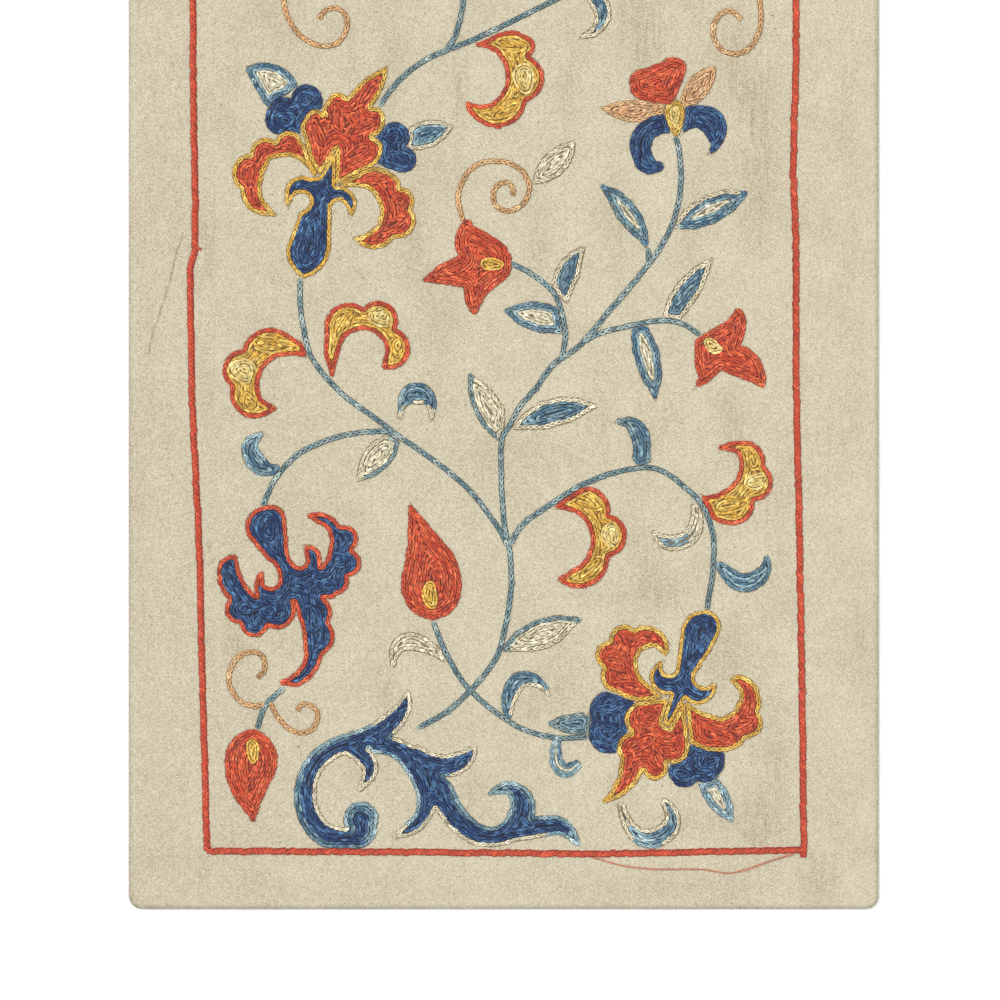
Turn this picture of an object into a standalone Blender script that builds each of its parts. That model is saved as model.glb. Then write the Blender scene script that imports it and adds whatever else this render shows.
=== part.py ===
"""Embroidered cloth panel with a flowering vine, laid flat.

The cloth is one sheet.  Each stitched motif is a thin plate just above it, in
its main thread colour.  Metres, +Z up, the cloth's underside on Z = 0, the
vine growing towards +Y.
"""
from collections import namedtuple
import math

import bpy
import numpy as np

# Driving dimensions
cloth_width = 0.300
cloth_length = 0.424
cloth_thickness = 0.0012
corner_radius = 0.005
stitch_thickness = 0.0005
piece_gap = 0.0003
side_gap = 0.00034
stem_width = 0.0020
tendril_width = 0.0023
border_width = 0.0023
thread_diameter = 0.00045

# The tables give places in pixels of the photograph, x to the right and
# y down, and one pixel is this long on the cloth.
metres_per_pixel = 0.0004
centre_x_px = 503.75
cloth_foot_y_px = 909.0
centre_y_px = cloth_foot_y_px - 0.5 * cloth_length / metres_per_pixel

# How finely curves are cut into straight steps
arc_step_degrees = 20.0
stroke_step_px = 5.5
thread_step_diameters = 2.5

thread_colours = {
    "ground": (0.63, 0.58, 0.45),
    "coral": (0.55, 0.075, 0.035),
    "yellow": (0.64, 0.41, 0.10),
    "navy": (0.035, 0.075, 0.19),
    "blue": (0.09, 0.19, 0.34),
    "stem": (0.16, 0.27, 0.36),
    "cream": (0.72, 0.66, 0.48),
    "pink": (0.66, 0.40, 0.22),
}

# A corner of an outline.  bow_px is how far the stretch to the next corner
# stands out from the straight line, outwards for plus and inwards for minus.
Corner = namedtuple("Corner", "x_px y_px bow_px")

# A station along a stroke, with half the stroke's width there.
Station = namedtuple("Station", "x_px y_px half_px")

# A motif: its node's name, its thread colour and its outlines.
Motif = namedtuple("Motif", "name colour outlines")


def corners(*rows):
    return [Corner(*row) for row in rows]


def stations(*rows):
    return [Station(*row) for row in rows]


# Outlines of the motifs, each walked round once, going from corner to corner

calyx_a = corners(
    (336, 150, 0), (335, 186, 6), (357, 204, 1), (350, 219, -1), (346, 206, -6), (331, 207, 0),
    (330, 250, 6), (303, 278, 4), (286, 250, -1), (300, 213, -2), (311, 201, -8), (292, 200, -1),
    (287, 211, 2), (286, 188, 6), (309, 178, 0), (320, 177, 0))
centre_petal_a = corners(
    (320, 176, 3), (304, 136, 4), (306, 117, 7), (325, 117, 3), (327, 102, 7), (347, 98, 4),
    (387, 66, 4), (371, 108, 6), (384, 121, 4), (372, 137, 1), (382, 144, 6), (366, 169, 1),
    (337, 184, 0))
left_petal_a = corners(
    (319, 178, 2), (302, 141, 10), (276, 142, 9), (250, 154, 13), (241, 189, 4), (255, 213, 1),
    (277, 216, 0), (262, 198, -4), (270, 160, -4), (300, 160, -2), (315, 179, 0))
right_petal_a = corners(
    (336, 187, 16), (399, 179, 1), (400, 188, 8), (411, 209, 12), (394, 238, 11), (353, 238, -3),
    (378, 224, -8), (365, 187, 0))
left_lobes_a = corners(
    (291, 99, 17), (322, 104, 0), (312, 140, 0), (285, 134, 2), (270, 131, 5), (271, 106, 5))
right_lobes_a = corners(
    (374, 138, 1), (385, 126, 6), (408, 131, 3), (404, 147, 14), (400, 172, 0), (372, 162, 0))

crescent_top = corners(
    (474, 45, 0), (498, 34, 4), (527, 36, 7), (529, 56, 16), (527, 101, 7), (498, 128, 8), (463, 99, -3),
    (490, 104, -17), (489, 48, 0))
crescent_left = corners(
    (306, 346, 1), (283, 331, 11), (243, 350, 14), (231, 387, 13), (262, 417, 1), (277, 408, 0),
    (262, 399, -9), (275, 358, -3), (309, 358, 0))
crescent_inner = corners(
    (332, 379, 4), (325, 330, 15), (363, 308, 17), (396, 329, 21), (382, 368, 0), (386, 350, -18),
    (341, 345, -1))
crescent_low = corners(
    (545, 509, 2), (575, 489, 13), (610, 515, 17), (609, 557, 10), (577, 588, 2), (557, 579, -1),
    (580, 565, -14), (575, 512, -2))
crescent_right = corners(
    (717, 448, 2), (742, 441, 9), (765, 467, 13), (754, 501, 7), (733, 525, 2), (709, 518, 0),
    (697, 495, -3), (725, 490, -8), (737, 453, 0))

tulip_left = corners(
    (511, 263, 3), (500, 241, 1), (474, 226, -1), (469, 217, 3), (455, 240, 1), (459, 256, 0),
    (438, 266, 0), (422, 281, 1), (464, 287, 0), (466, 303, 1), (475, 316, 0), (486, 295, -1),
    (503, 281, 3))
tulip_right = corners(
    (701, 336, 1), (729, 320, -1), (737, 306, 3), (746, 326, 1), (740, 345, 5), (764, 370, 1),
    (765, 388, 0), (721, 370, 3), (692, 389, 0), (699, 378, 2), (695, 350, 3))

iris_cap = corners(
    (630, 84, 4), (640, 70, -1), (662, 62, 3), (679, 59, 4), (685, 73, 0), (676, 95, 4),
    (662, 103, 1), (641, 99, 4))
iris_drop = corners((675, 99, 2), (685, 111, 2), (677, 137, 0), (675, 137, 2), (664, 110, 2))
iris_left_hook = corners(
    (664, 114, 2), (640, 124, 7), (634, 162, 5), (655, 173, 2), (665, 166, 1), (656, 161, -4),
    (654, 137, -1), (672, 132, 0))
iris_right_hook = corners(
    (684, 109, 2), (703, 106, 7), (727, 128, 3), (714, 152, 0), (707, 157, 0), (711, 147, -3),
    (697, 127, -2), (680, 136, 0))

bud_centre = corners(
    (409, 502, 1), (450, 550, 4), (461, 587, 9), (432, 620, 9), (401, 585, 1), (408, 545, -1))
bud_left = corners(
    (253, 729, 8), (225, 760, 3), (234, 797, 0), (254, 823, 0), (259, 806, 1), (274, 775, 12))

palmette_b = corners(
    (247, 535, 9), (266, 506, 7), (286, 522, 1), (288, 550, -1), (294, 564, -6), (306, 558, -1),
    (302, 546, 5), (321, 556, 0), (321, 567, -2), (330, 545, -5), (317, 523, -1), (303, 516, 8),
    (341, 526, 11), (352, 550, 11), (348, 577, 5), (337, 595, 2), (324, 598, 5), (329, 622, 8),
    (323, 655, 5), (298, 687, 0), (280, 684, 0), (281, 680, -5), (305, 657, -3), (294, 602, 4),
    (288, 625, 3), (268, 627, 12), (240, 624, 9), (229, 600, 6), (219, 563, 3), (237, 555, -5),
    (256, 596, 6), (266, 567, -2), (264, 583, -6), (279, 580, -4), (267, 560, 1))

calyx_c = corners(
    (704, 610, 5), (721, 628, 1), (711, 650, -1), (694, 675, -4), (706, 688, -1), (716, 680, 2),
    (712, 697, 7), (685, 698, 0), (669, 727, 1), (663, 722, 0), (671, 694, 7), (650, 676, 3),
    (664, 660, 0), (662, 668, -7), (677, 668, 0), (681, 637, 8))
centre_petal_c = corners(
    (665, 699, 1), (640, 702, 10), (631, 733, 8), (621, 758, -6), (600, 803, 8), (643, 771, 13),
    (667, 763, 8), (689, 745, 1), (684, 700, 0))
left_petal_c = corners(
    (669, 694, 5), (628, 699, 1), (606, 688, 3), (603, 668, 11), (610, 641, 9), (634, 629, 12),
    (669, 650, 1), (666, 656, 0), (655, 647, -6), (637, 663, -4), (652, 687, 0))
right_petal_c = corners(
    (686, 702, -3), (722, 718, -5), (740, 693, -2), (727, 680, 2), (743, 676, 9), (758, 712, 10),
    (746, 738, 5), (718, 751, 3), (690, 742, 1))
left_lobes_c = corners(
    (605, 692, 8), (592, 722, 12), (612, 753, 1), (624, 748, 0), (640, 730, 0), (635, 700, 0))
right_lobes_c = corners((692, 745, 0), (670, 764, 14), (697, 781, 9), (724, 760, 2), (720, 747, 0))

leaf_bud_a_left = corners((245, 68, 12), (298, 84, 0), (268, 110, 1))
leaf_bud_a_right = corners((406, 131, 8), (453, 126, 9), (406, 149, 0))
leaf_bud_c_right = corners((698, 780, 8), (733, 822, 6), (717, 778, 0))
leaf_bud_c_left = corners((546, 724, 5), (594, 714, 0), (592, 735, 4))
iris_left_leaf = corners((600, 108, 6), (667, 103, 0), (667, 114, 11))
iris_right_leaf = corners((716, 66, 8), (680, 99, 0), (686, 109, 9))
leaf_cream = corners((533, 184, 11), (575, 141, 13))
leaf_over_stem = corners((552, 290, 10), (585, 246, 3), (567, 303, 0))
leaf_on_branch = corners((503, 311, 8), (560, 309, 0), (562, 333, 8))
leaf_high = corners((648, 250, 6), (600, 184, 16))
leaf_high_right = corners((672, 228, 15), (749, 191, 14))
leaf_upright = corners((662, 320, 11), (713, 258, 5), (681, 319, 0))
leaf_hanging = corners((631, 326, 7), (656, 401, 10), (647, 326, 0))
leaf_pair_left = corners((469, 373, 4), (504, 408, 1), (504, 434, 0), (497, 440, 10))
leaf_pair_right = corners((512, 429, 19), (598, 406, 9))
leaf_low_left = corners((384, 436, 4), (360, 462, 0), (357, 481, 3), (388, 466, 2), (400, 440, 0))
leaf_low_right = corners((500, 651, 15), (582, 618, 1), (560, 641, 2), (532, 651, 1))

curls = [
    ("curl_left", "blue", stations((280, 468, 3), (268, 470, 6.5), (258, 464, 9.5), (250.5, 452, 8.5),
                                   (251, 443, 7), (257, 437, 4), (263, 433, 1.5))),
    ("curl_inner", "blue", stations((400, 420, 2), (401, 408, 3), (405, 399, 7), (412, 394, 10),
                                    (421, 394, 10.5), (429, 399, 7), (432, 407, 4), (431, 420, 1.5))),
    ("curl_arch", "blue", stations((641, 461, 9), (642, 450, 8), (641, 438, 9), (636, 428, 8.5),
                                   (627, 422, 5), (616, 422, 2))),
    ("curl_under_arch", "cream", stations((695, 505, 3.5), (697, 520, 6), (693, 533, 7.5),
                                          (683, 541, 7.5), (670, 543, 7.5), (660, 539, 5),
                                          (653, 533, 2.5))),
    ("curl_right", "blue", stations((718, 563, 3), (726, 572, 6.5), (736, 581, 8.5), (748, 583, 9),
                                    (759, 577, 8), (766, 568, 5.5), (766, 556, 1.5))),
    ("curl_low", "blue", stations((508, 718, 3), (508, 705, 6), (511, 692, 8), (518, 681, 8.5),
                                  (528, 679, 7), (538, 682, 5), (546, 690, 3), (550, 697, 1))),
    ("curl_bud_stem", "cream", stations((446, 660, 2.5), (435, 651, 5), (422, 644, 7.5),
                                        (410, 641, 8.5), (399, 645, 7), (394, 654, 4.5),
                                        (393, 666, 1.5))),
    ("curl_foot", "blue", stations((621, 803, 3), (625, 818, 4.5), (634, 832, 7), (647, 839, 9),
                                   (660, 836, 9.5), (670, 828, 9), (673, 817, 7), (668, 806, 5),
                                   (663, 801, 3))),
    ("curl_top", "cream", stations((577, -12, 3), (588, -8, 6.5), (598, 1, 8.5), (603, 13, 8),
                                   (600, 25, 6), (592, 33, 4), (581, 37, 1.5))),
]

# The scroll that the vine grows from: its strokes, and the round end of the
# great curl.
scroll_strokes = [
    stations((370, 826, 9), (362, 836, 11), (350, 840, 12), (336, 839, 12), (320, 831, 11.5),
             (309, 815, 11), (305, 795, 10.5), (309, 775, 10), (320, 758, 9.5), (337, 747, 9.5),
             (357, 741, 10), (377, 733, 10.5), (393, 721, 10), (404, 707, 7.5), (408, 692, 2)),
    stations((350, 748, 8), (362, 755, 9), (370, 766, 8), (368, 777, 6), (358, 791, 1.5)),
    stations((372, 744, 9), (390, 746, 9), (406, 754, 11), (419, 770, 12), (426, 787, 11),
             (427, 803, 9.5), (422, 817, 8), (410, 829, 6.5), (393, 837, 2)),
    stations((412, 752, 9), (428, 762, 10), (445, 766, 11), (460, 762, 10), (471, 753, 6),
             (475, 745, 1.5)),
    stations((428, 778, 9), (439, 790, 13), (448, 806, 12), (460, 822, 11.5), (476, 834, 10.5),
             (494, 837, 9.5), (510, 831, 11), (520, 818, 12.5), (523, 804, 12), (517, 793, 9.5),
             (504, 788, 5.5), (489, 794, 1.5)),
    stations((512, 834, 8), (528, 829, 10), (545, 826, 10), (560, 826, 8.5), (571, 834, 6),
             (579, 846, 1.5)),
]
scroll_end = Station(361, 819, 17)

# Stems and tendrils: the places that each one's middle line passes through
stem_lines = {
    "stem_main": [
        [(300, 279), (300, 300), (303, 325), (312, 358), (340, 392), (375, 418), (400, 437),
         (440, 465), (470, 491), (495, 523), (508, 546)],
        [(398, 437), (385, 431.5), (370, 432), (350, 434), (325, 441), (297, 455), (276, 478),
         (266, 498), (263, 505)],
        [(418, 728), (445, 713), (470, 691), (495, 660), (505, 628), (511, 589), (510, 554),
         (504, 520), (501, 470), (502, 440), (510, 425), (521, 405), (536, 388), (553, 365), (580, 345),
         (610, 310), (640, 275), (662, 245), (676, 213), (681, 180), (679, 150), (676, 138)],
        [(583, 342), (600, 333), (620, 328), (655, 321), (680, 323), (699, 334)],
        [(562, 358), (565, 330), (555, 295), (533, 275), (512, 264)],
        [(510, 545), (523, 524), (547, 507), (566, 494), (584, 484), (610, 474), (638, 468), (660, 470),
         (681, 484), (702, 505), (713, 535), (713, 570), (707, 609)],
        [(433, 621), (446, 653), (468, 688), (505, 719), (530, 732), (558, 738), (587, 737)],
        [(648, 248), (649, 262)],
    ],
    "stem_top": [
        [(380, 106), (390, 91), (405, 75), (425, 60), (447, 50), (470, 41), (500, 27), (555, 0),
         (600, -22), (650, -42), (700, -50), (740, -37), (757, -12), (761, 20), (757, 38),
         (747, 50), (735, 54), (722, 50), (714, 38), (714, 25), (720, 15), (730, 11), (741, 19)],
        [(446, 50), (455, 36), (461, 15), (463, 0), (460, -28), (444, -52), (415, -66), (375, -72),
         (335, -66), (300, -45), (284, -15), (286, 12), (297, 32), (312, 43), (327, 46), (340, 41),
         (347, 27), (345, 14), (335, 8), (325, 11), (319, 19)],
    ],
    "stem_bud_left": [
        [(284, 688), (266, 705), (257, 728)],
        [(264, 704), (252, 706), (240, 701), (231, 689), (229, 676), (234, 662), (243, 654),
         (254, 652), (263, 657), (265, 668), (258, 678)],
        [(270, 702), (277, 716), (288, 728), (301, 733), (313, 728), (318, 716), (313, 707),
         (303, 704), (297, 710)],
    ],
    "tendril_spiral": [
        [(463, 220), (458, 200), (461, 185), (470, 170), (485, 162), (505, 162), (520, 169),
         (528, 180), (529, 192), (522, 205), (508, 211), (497, 207), (493, 195), (497, 186),
         (506, 182), (513, 188), (513, 196)],
    ],
}
tendrils = ("stem_bud_left", "tendril_spiral")

# The small curl under the bud's stem, joined to it
small_curl = stations((558, 736, 2.5), (555.5, 752, 5), (558, 765, 7), (566, 771, 6.5),
                      (574, 767, 5), (579, 762, 2.5))

# The line stitched round the panel, from its top left corner on, anticlockwise
border_places = [
    (193, -95), (193, 76), (195, 184), (195, 249), (190, 270), (192, 400), (199, 542),
    (203, 701), (207, 851), (400, 852), (600, 854), (804, 850), (802, 676), (799, 510),
    (796, 380), (796, 240), (793, 175), (794, 130), (796, 60), (796, -95), (495, -97)]

# The loose end of coral thread that lies beside the line's lower right corner
loose_thread_places = [
    (594, 859.4), (608, 862.5), (624, 865.5), (640, 868), (656, 869.3), (680, 869.2),
    (702, 869.5), (716, 871.5), (728, 873.2), (743, 870.5), (759, 865), (772, 860.5),
    (784, 857.4), (790, 856.2)]


def onCloth(points_px):
    """Places in the photograph, as X and Y on the cloth in metres."""
    points = np.array(points_px, dtype=float)
    x = (points[:, 0] - centre_x_px) * metres_per_pixel
    y = (centre_y_px - points[:, 1]) * metres_per_pixel
    return np.column_stack([x, y])


def signedArea(points):
    x, y = points[:, 0], points[:, 1]
    return 0.5 * np.sum(x * np.roll(y, -1) - np.roll(x, -1) * y)


def arcOutline(rows):
    """Closed outline from its corners: each stretch is a straight line or one
    round arc whose middle stands bow_px off the straight line."""
    places = np.array([(row.x_px, row.y_px) for row in rows], dtype=float)
    side = math.copysign(1.0, signedArea(places))
    outline = []
    for here, there, row in zip(places, np.roll(places, -1, axis=0), rows):
        chord = there - here
        length = math.hypot(*chord)
        outward = side * np.array([chord[1], -chord[0]]) / length
        turn = 4.0 * math.atan(2.0 * abs(row.bow_px) / length)
        steps = max(1, math.ceil(math.degrees(turn) / arc_step_degrees))
        for step in range(steps):
            along = step / steps
            if turn < 0.05:
                outline.append(here + chord * along)
                continue
            radius = 0.5 * length / math.sin(0.5 * turn)
            angle = turn * (along - 0.5)
            forward = radius * math.sin(angle)
            rise = radius * (math.cos(angle) - math.cos(0.5 * turn))
            lift = math.copysign(rise, row.bow_px)
            outline.append(here + chord * (0.5 + forward / length) + outward * lift)
    return onCloth(outline)


def smoothLine(values, step):
    """A smooth curve through the given rows of numbers (Catmull-Rom)."""
    rows = np.array(values, dtype=float)
    padded = np.vstack([2 * rows[0] - rows[1], rows, 2 * rows[-1] - rows[-2]])
    line = []
    for a, b, c, d in zip(padded, padded[1:], padded[2:], padded[3:]):
        count = max(1, round(math.hypot(*(c - b)[:2]) / step))
        for t in np.arange(count) / count:
            line.append(0.5 * (2 * b + (c - a) * t + (2 * a - 5 * b + 4 * c - d) * t * t
                               + (3 * b - a - 3 * c + d) * t ** 3))
    line.append(rows[-1])
    return np.array(line)


def strokeOutline(line):
    """Outline of a stroke whose rows are x, y and half its width."""
    middle, half = line[:, :2], line[:, 2:3]
    along = np.gradient(middle, axis=0)
    along /= np.linalg.norm(along, axis=1, keepdims=True)
    across = np.column_stack([along[:, 1], -along[:, 0]])
    start = middle[:1] - along[:1] * half[:1] * 0.6
    end = middle[-1:] + along[-1:] * half[-1:] * 0.6
    right = middle + across * half
    left = (middle - across * half)[::-1]
    return onCloth(np.vstack([start, right, end, left]))


def discOutline(disc):
    top = (disc.x_px, disc.y_px - disc.half_px, disc.half_px)
    foot = (disc.x_px, disc.y_px + disc.half_px, disc.half_px)
    return arcOutline(corners(top, foot))


def grown(outline, distance):
    """The same outline, moved outwards by a distance."""
    edge = np.roll(outline, -1, axis=0) - outline
    normal = np.column_stack([edge[:, 1], -edge[:, 0]])
    normal /= np.linalg.norm(normal, axis=1, keepdims=True)
    normal *= math.copysign(1.0, signedArea(outline))
    bisector = normal + np.roll(normal, 1, axis=0)
    bisector /= np.maximum(np.sum(bisector ** 2, axis=1, keepdims=True) * 0.5, 0.35)
    return outline + bisector * distance


def crossProduct(a, b):
    return a[..., 0] * b[..., 1] - a[..., 1] * b[..., 0]


def outlinesMeet(first, second):
    """True where two outlines cross or one lies inside the other."""
    if np.any(first.max(axis=0) < second.min(axis=0)) or np.any(second.max(axis=0) < first.min(axis=0)):
        return False
    a, b = first[:, None], np.roll(first, -1, axis=0)[:, None]
    c, d = second[None], np.roll(second, -1, axis=0)[None]
    split_second = crossProduct(b - a, c - a) * crossProduct(b - a, d - a) < 0
    split_first = crossProduct(d - c, a - c) * crossProduct(d - c, b - c) < 0
    return bool(np.any(split_second & split_first)) or holds(first, second[0]) or holds(second, first[0])


def holds(outline, point):
    """True where the point lies inside the outline: an odd number of edges
    pass to its right."""
    a, b = outline, np.roll(outline, -1, axis=0)
    spans = (a[:, 1] > point[1]) != (b[:, 1] > point[1])
    rise = np.where(spans, b[:, 1] - a[:, 1], 1.0)
    crossing = a[:, 0] + (point[1] - a[:, 1]) * (b[:, 0] - a[:, 0]) / rise
    return int(np.sum(spans & (crossing > point[0]))) % 2 == 1


def clearScene():
    for thing in list(bpy.data.objects):
        bpy.data.objects.remove(thing, do_unlink=True)


def makeCollection(name, hidden=False):
    collection = bpy.data.collections.new(name)
    collection.hide_render = hidden
    bpy.context.scene.collection.children.link(collection)
    return collection


def makeMaterial(name, colour):
    material = bpy.data.materials.new(name + "_thread")
    material.use_nodes = True
    shader = material.node_tree.nodes["Principled BSDF"]
    shader.inputs["Base Color"].default_value = (*thread_colours[colour], 1.0)
    shader.inputs["Roughness"].default_value = 0.9 if colour == "ground" else 0.6
    shader.inputs["Metallic"].default_value = 0.0
    return material


def makePlate(name, outlines, bottom, top, collection):
    """A flat plate from 2D outlines, an inner one being a hole."""
    curve = bpy.data.curves.new(name, "CURVE")
    curve.dimensions = "2D"
    curve.fill_mode = "BOTH"
    curve.extrude = 0.5 * (top - bottom)
    for outline in outlines:
        spline = curve.splines.new("POLY")
        spline.points.add(len(outline) - 1)
        for point, place in zip(spline.points, outline):
            point.co = (place[0], place[1], 0.0, 1.0)
        spline.use_cyclic_u = True
    shaped = bpy.data.objects.new(name, curve)
    bpy.context.scene.collection.objects.link(shaped)
    bpy.context.view_layer.update()
    mesh = bpy.data.meshes.new_from_object(shaped.evaluated_get(bpy.context.evaluated_depsgraph_get()))
    bpy.data.objects.remove(shaped)
    plate = bpy.data.objects.new(name, mesh)
    mesh.name = name
    plate.location.z = 0.5 * (top + bottom)
    collection.objects.link(plate)
    weldEdges(plate)
    return plate


def weldEdges(plate):
    """The fill and the side walls come as separate sheets: join them."""
    weld = plate.modifiers.new("weld", "WELD")
    weld.merge_threshold = 0.00001


def addBoolean(plate, tool, operation):
    change = plate.modifiers.new(tool.name, "BOOLEAN")
    change.operation = operation
    change.solver = "EXACT"
    change.object = tool
    tool.hide_render = True
    tool.display_type = "WIRE"


plate_bottom = cloth_thickness + piece_gap
plate_top = plate_bottom + stitch_thickness


def makeMotif(motif, placed, parts, cutters):
    """One stitched motif: its strokes joined, cut back round what is already
    stitched by a little more than the gap that pieces keep."""
    first, *others = motif.outlines
    plate = makePlate(motif.name, [first], plate_bottom, plate_top, parts)
    for number, outline in enumerate(others):
        tool = makePlate(f"join_{motif.name}_{number}", [outline], plate_bottom, plate_top, cutters)
        addBoolean(plate, tool, "UNION")
    for number, earlier in enumerate(placed):
        clearance = grown(earlier, side_gap)
        if any(outlinesMeet(outline, clearance) for outline in motif.outlines):
            tool = makePlate(f"trim_{motif.name}_{number}", [clearance], plate_bottom - piece_gap * 0.5,
                             plate_top + piece_gap, cutters)
            addBoolean(plate, tool, "DIFFERENCE")
    plate.data.materials.append(makeMaterial(motif.name, motif.colour))
    placed.extend(motif.outlines)


def makeCloth(parts):
    half_x = 0.5 * cloth_width
    half_y = 0.5 * cloth_length
    outline = []
    for turn in range(4):
        sign_x = 1.0 if turn in (0, 3) else -1.0
        sign_y = 1.0 if turn in (0, 1) else -1.0
        for step in range(5):
            angle = math.radians(90.0 * turn + 90.0 * step / 4)
            outline.append((sign_x * (half_x - corner_radius) + corner_radius * math.cos(angle),
                            sign_y * (half_y - corner_radius) + corner_radius * math.sin(angle)))
    cloth = makePlate("ground_cloth", [outline], 0.0, cloth_thickness, parts)
    cloth.data.materials.append(makeMaterial("ground_cloth", "ground"))


def makeBorder(parts, placed):
    """The coral line is a closed ring: an outer and an inner outline."""
    middle = onCloth(border_places)
    outer = grown(middle, 0.5 * border_width)
    inner = grown(middle, -0.5 * border_width)
    border = makePlate("border_line", [outer, inner], plate_bottom, plate_top, parts)
    border.data.materials.append(makeMaterial("border_line", "coral"))
    placed.extend(borderPieces(outer, inner))


def borderPieces(outer, inner):
    """The ring as overlapping four-sided stretches, for cutting others."""
    count = len(outer)
    return [np.array([outer[i], outer[(i + 1) % count], inner[(i + 1) % count], inner[i]])
            for i in range(count)]


def makeThread(parts):
    step = thread_step_diameters * thread_diameter / metres_per_pixel
    line = onCloth(smoothLine(loose_thread_places, step))
    curve = bpy.data.curves.new("loose_thread", "CURVE")
    curve.dimensions = "3D"
    curve.bevel_depth = 0.5 * thread_diameter
    curve.bevel_resolution = 2
    curve.use_fill_caps = True
    spline = curve.splines.new("POLY")
    spline.points.add(len(line) - 1)
    height = cloth_thickness + piece_gap + 0.5 * thread_diameter
    for point, place in zip(spline.points, line):
        point.co = (place[0], place[1], height, 1.0)
    thread = bpy.data.objects.new("loose_thread", curve)
    curve.materials.append(makeMaterial("loose_thread", "coral"))
    parts.objects.link(thread)


def stemMotif(name):
    width = tendril_width if name in tendrils else stem_width
    half_px = 0.5 * width / metres_per_pixel
    outlines = []
    for places in stem_lines[name]:
        rows = [(x, y, half_px) for x, y in places]
        outlines.append(strokeOutline(smoothLine(rows, stroke_step_px)))
    if name == "stem_main":
        outlines.append(strokeOutline(smoothLine(small_curl, stroke_step_px)))
    return Motif(name, "pink" if name == "tendril_spiral" else "stem", outlines)


def listMotifs():
    """Every stitched motif, the ones on top first."""
    shaped = [
        ("calyx_a", "navy", calyx_a), ("centre_petal_a", "coral", centre_petal_a),
        ("left_petal_a", "coral", left_petal_a), ("right_petal_a", "coral", right_petal_a),
        ("left_lobes_a", "navy", left_lobes_a), ("right_lobes_a", "navy", right_lobes_a),
        ("calyx_c", "navy", calyx_c), ("centre_petal_c", "coral", centre_petal_c),
        ("left_petal_c", "coral", left_petal_c), ("right_petal_c", "coral", right_petal_c),
        ("left_lobes_c", "navy", left_lobes_c), ("right_lobes_c", "navy", right_lobes_c),
        ("palmette_b", "navy", palmette_b), ("tulip_left", "coral", tulip_left),
        ("tulip_right", "coral", tulip_right), ("iris_cap", "coral", iris_cap),
        ("iris_drop", "yellow", iris_drop), ("bud_centre", "coral", bud_centre),
        ("bud_left", "coral", bud_left)]
    motifs = [Motif(name, colour, [arcOutline(rows)]) for name, colour, rows in shaped]
    scroll = [strokeOutline(smoothLine(rows, stroke_step_px)) for rows in scroll_strokes]
    motifs.append(Motif("scroll", "navy", scroll + [discOutline(scroll_end)]))
    motifs += [stemMotif(name) for name in stem_lines]
    others = [
        ("iris_left_hook", "navy", iris_left_hook), ("iris_right_hook", "navy", iris_right_hook),
        ("crescent_top", "yellow", crescent_top), ("crescent_left", "yellow", crescent_left),
        ("crescent_inner", "yellow", crescent_inner), ("crescent_low", "yellow", crescent_low),
        ("crescent_right", "yellow", crescent_right), ("iris_left_leaf", "pink", iris_left_leaf),
        ("iris_right_leaf", "pink", iris_right_leaf), ("leaf_bud_a_left", "blue", leaf_bud_a_left),
        ("leaf_bud_a_right", "cream", leaf_bud_a_right), ("leaf_bud_c_right", "blue", leaf_bud_c_right),
        ("leaf_bud_c_left", "blue", leaf_bud_c_left), ("leaf_cream", "cream", leaf_cream),
        ("leaf_over_stem", "cream", leaf_over_stem), ("leaf_on_branch", "blue", leaf_on_branch),
        ("leaf_high", "blue", leaf_high), ("leaf_high_right", "blue", leaf_high_right),
        ("leaf_upright", "cream", leaf_upright), ("leaf_hanging", "blue", leaf_hanging),
        ("leaf_pair_left", "cream", leaf_pair_left), ("leaf_pair_right", "blue", leaf_pair_right),
        ("leaf_low_left", "cream", leaf_low_left), ("leaf_low_right", "blue", leaf_low_right)]
    motifs += [Motif(name, colour, [arcOutline(rows)]) for name, colour, rows in others]
    motifs += [Motif(name, colour, [strokeOutline(smoothLine(rows, stroke_step_px))])
               for name, colour, rows in curls]
    return motifs


def main():
    clearScene()
    parts = makeCollection("embroidered_panel")
    cutters = makeCollection("cutters", hidden=True)
    placed = []
    makeCloth(parts)
    makeBorder(parts, placed)
    makeThread(parts)
    for motif in listMotifs():
        makeMotif(motif, placed, parts, cutters)
    print("pieces:", len(parts.objects))


main()
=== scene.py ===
import math
from collections import namedtuple

import bmesh
import bpy
import numpy as np
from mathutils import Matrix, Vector
from mathutils.geometry import delaunay_2d_cdt


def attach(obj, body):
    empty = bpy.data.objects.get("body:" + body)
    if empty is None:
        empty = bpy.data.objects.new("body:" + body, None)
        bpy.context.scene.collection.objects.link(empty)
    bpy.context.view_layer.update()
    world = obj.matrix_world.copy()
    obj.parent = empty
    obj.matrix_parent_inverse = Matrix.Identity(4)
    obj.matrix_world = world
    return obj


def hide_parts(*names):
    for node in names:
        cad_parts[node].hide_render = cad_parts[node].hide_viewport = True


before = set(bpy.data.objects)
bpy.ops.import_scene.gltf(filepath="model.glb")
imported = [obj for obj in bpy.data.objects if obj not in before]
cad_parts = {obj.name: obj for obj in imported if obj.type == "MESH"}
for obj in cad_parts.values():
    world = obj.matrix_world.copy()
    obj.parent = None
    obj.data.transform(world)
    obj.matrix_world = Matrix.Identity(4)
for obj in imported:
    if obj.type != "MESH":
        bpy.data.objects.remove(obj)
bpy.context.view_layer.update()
print("frame loaded:", len(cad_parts), "solids")

# Places in the tables are pixels of the photograph; this turns them to metres
sheetPlan = {"metresPerPixel": 0.0004, "centreX": 503.75, "centreY": 379.0,
             "width": 0.300, "length": 0.424}
pixel = sheetPlan["metresPerPixel"]


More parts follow.
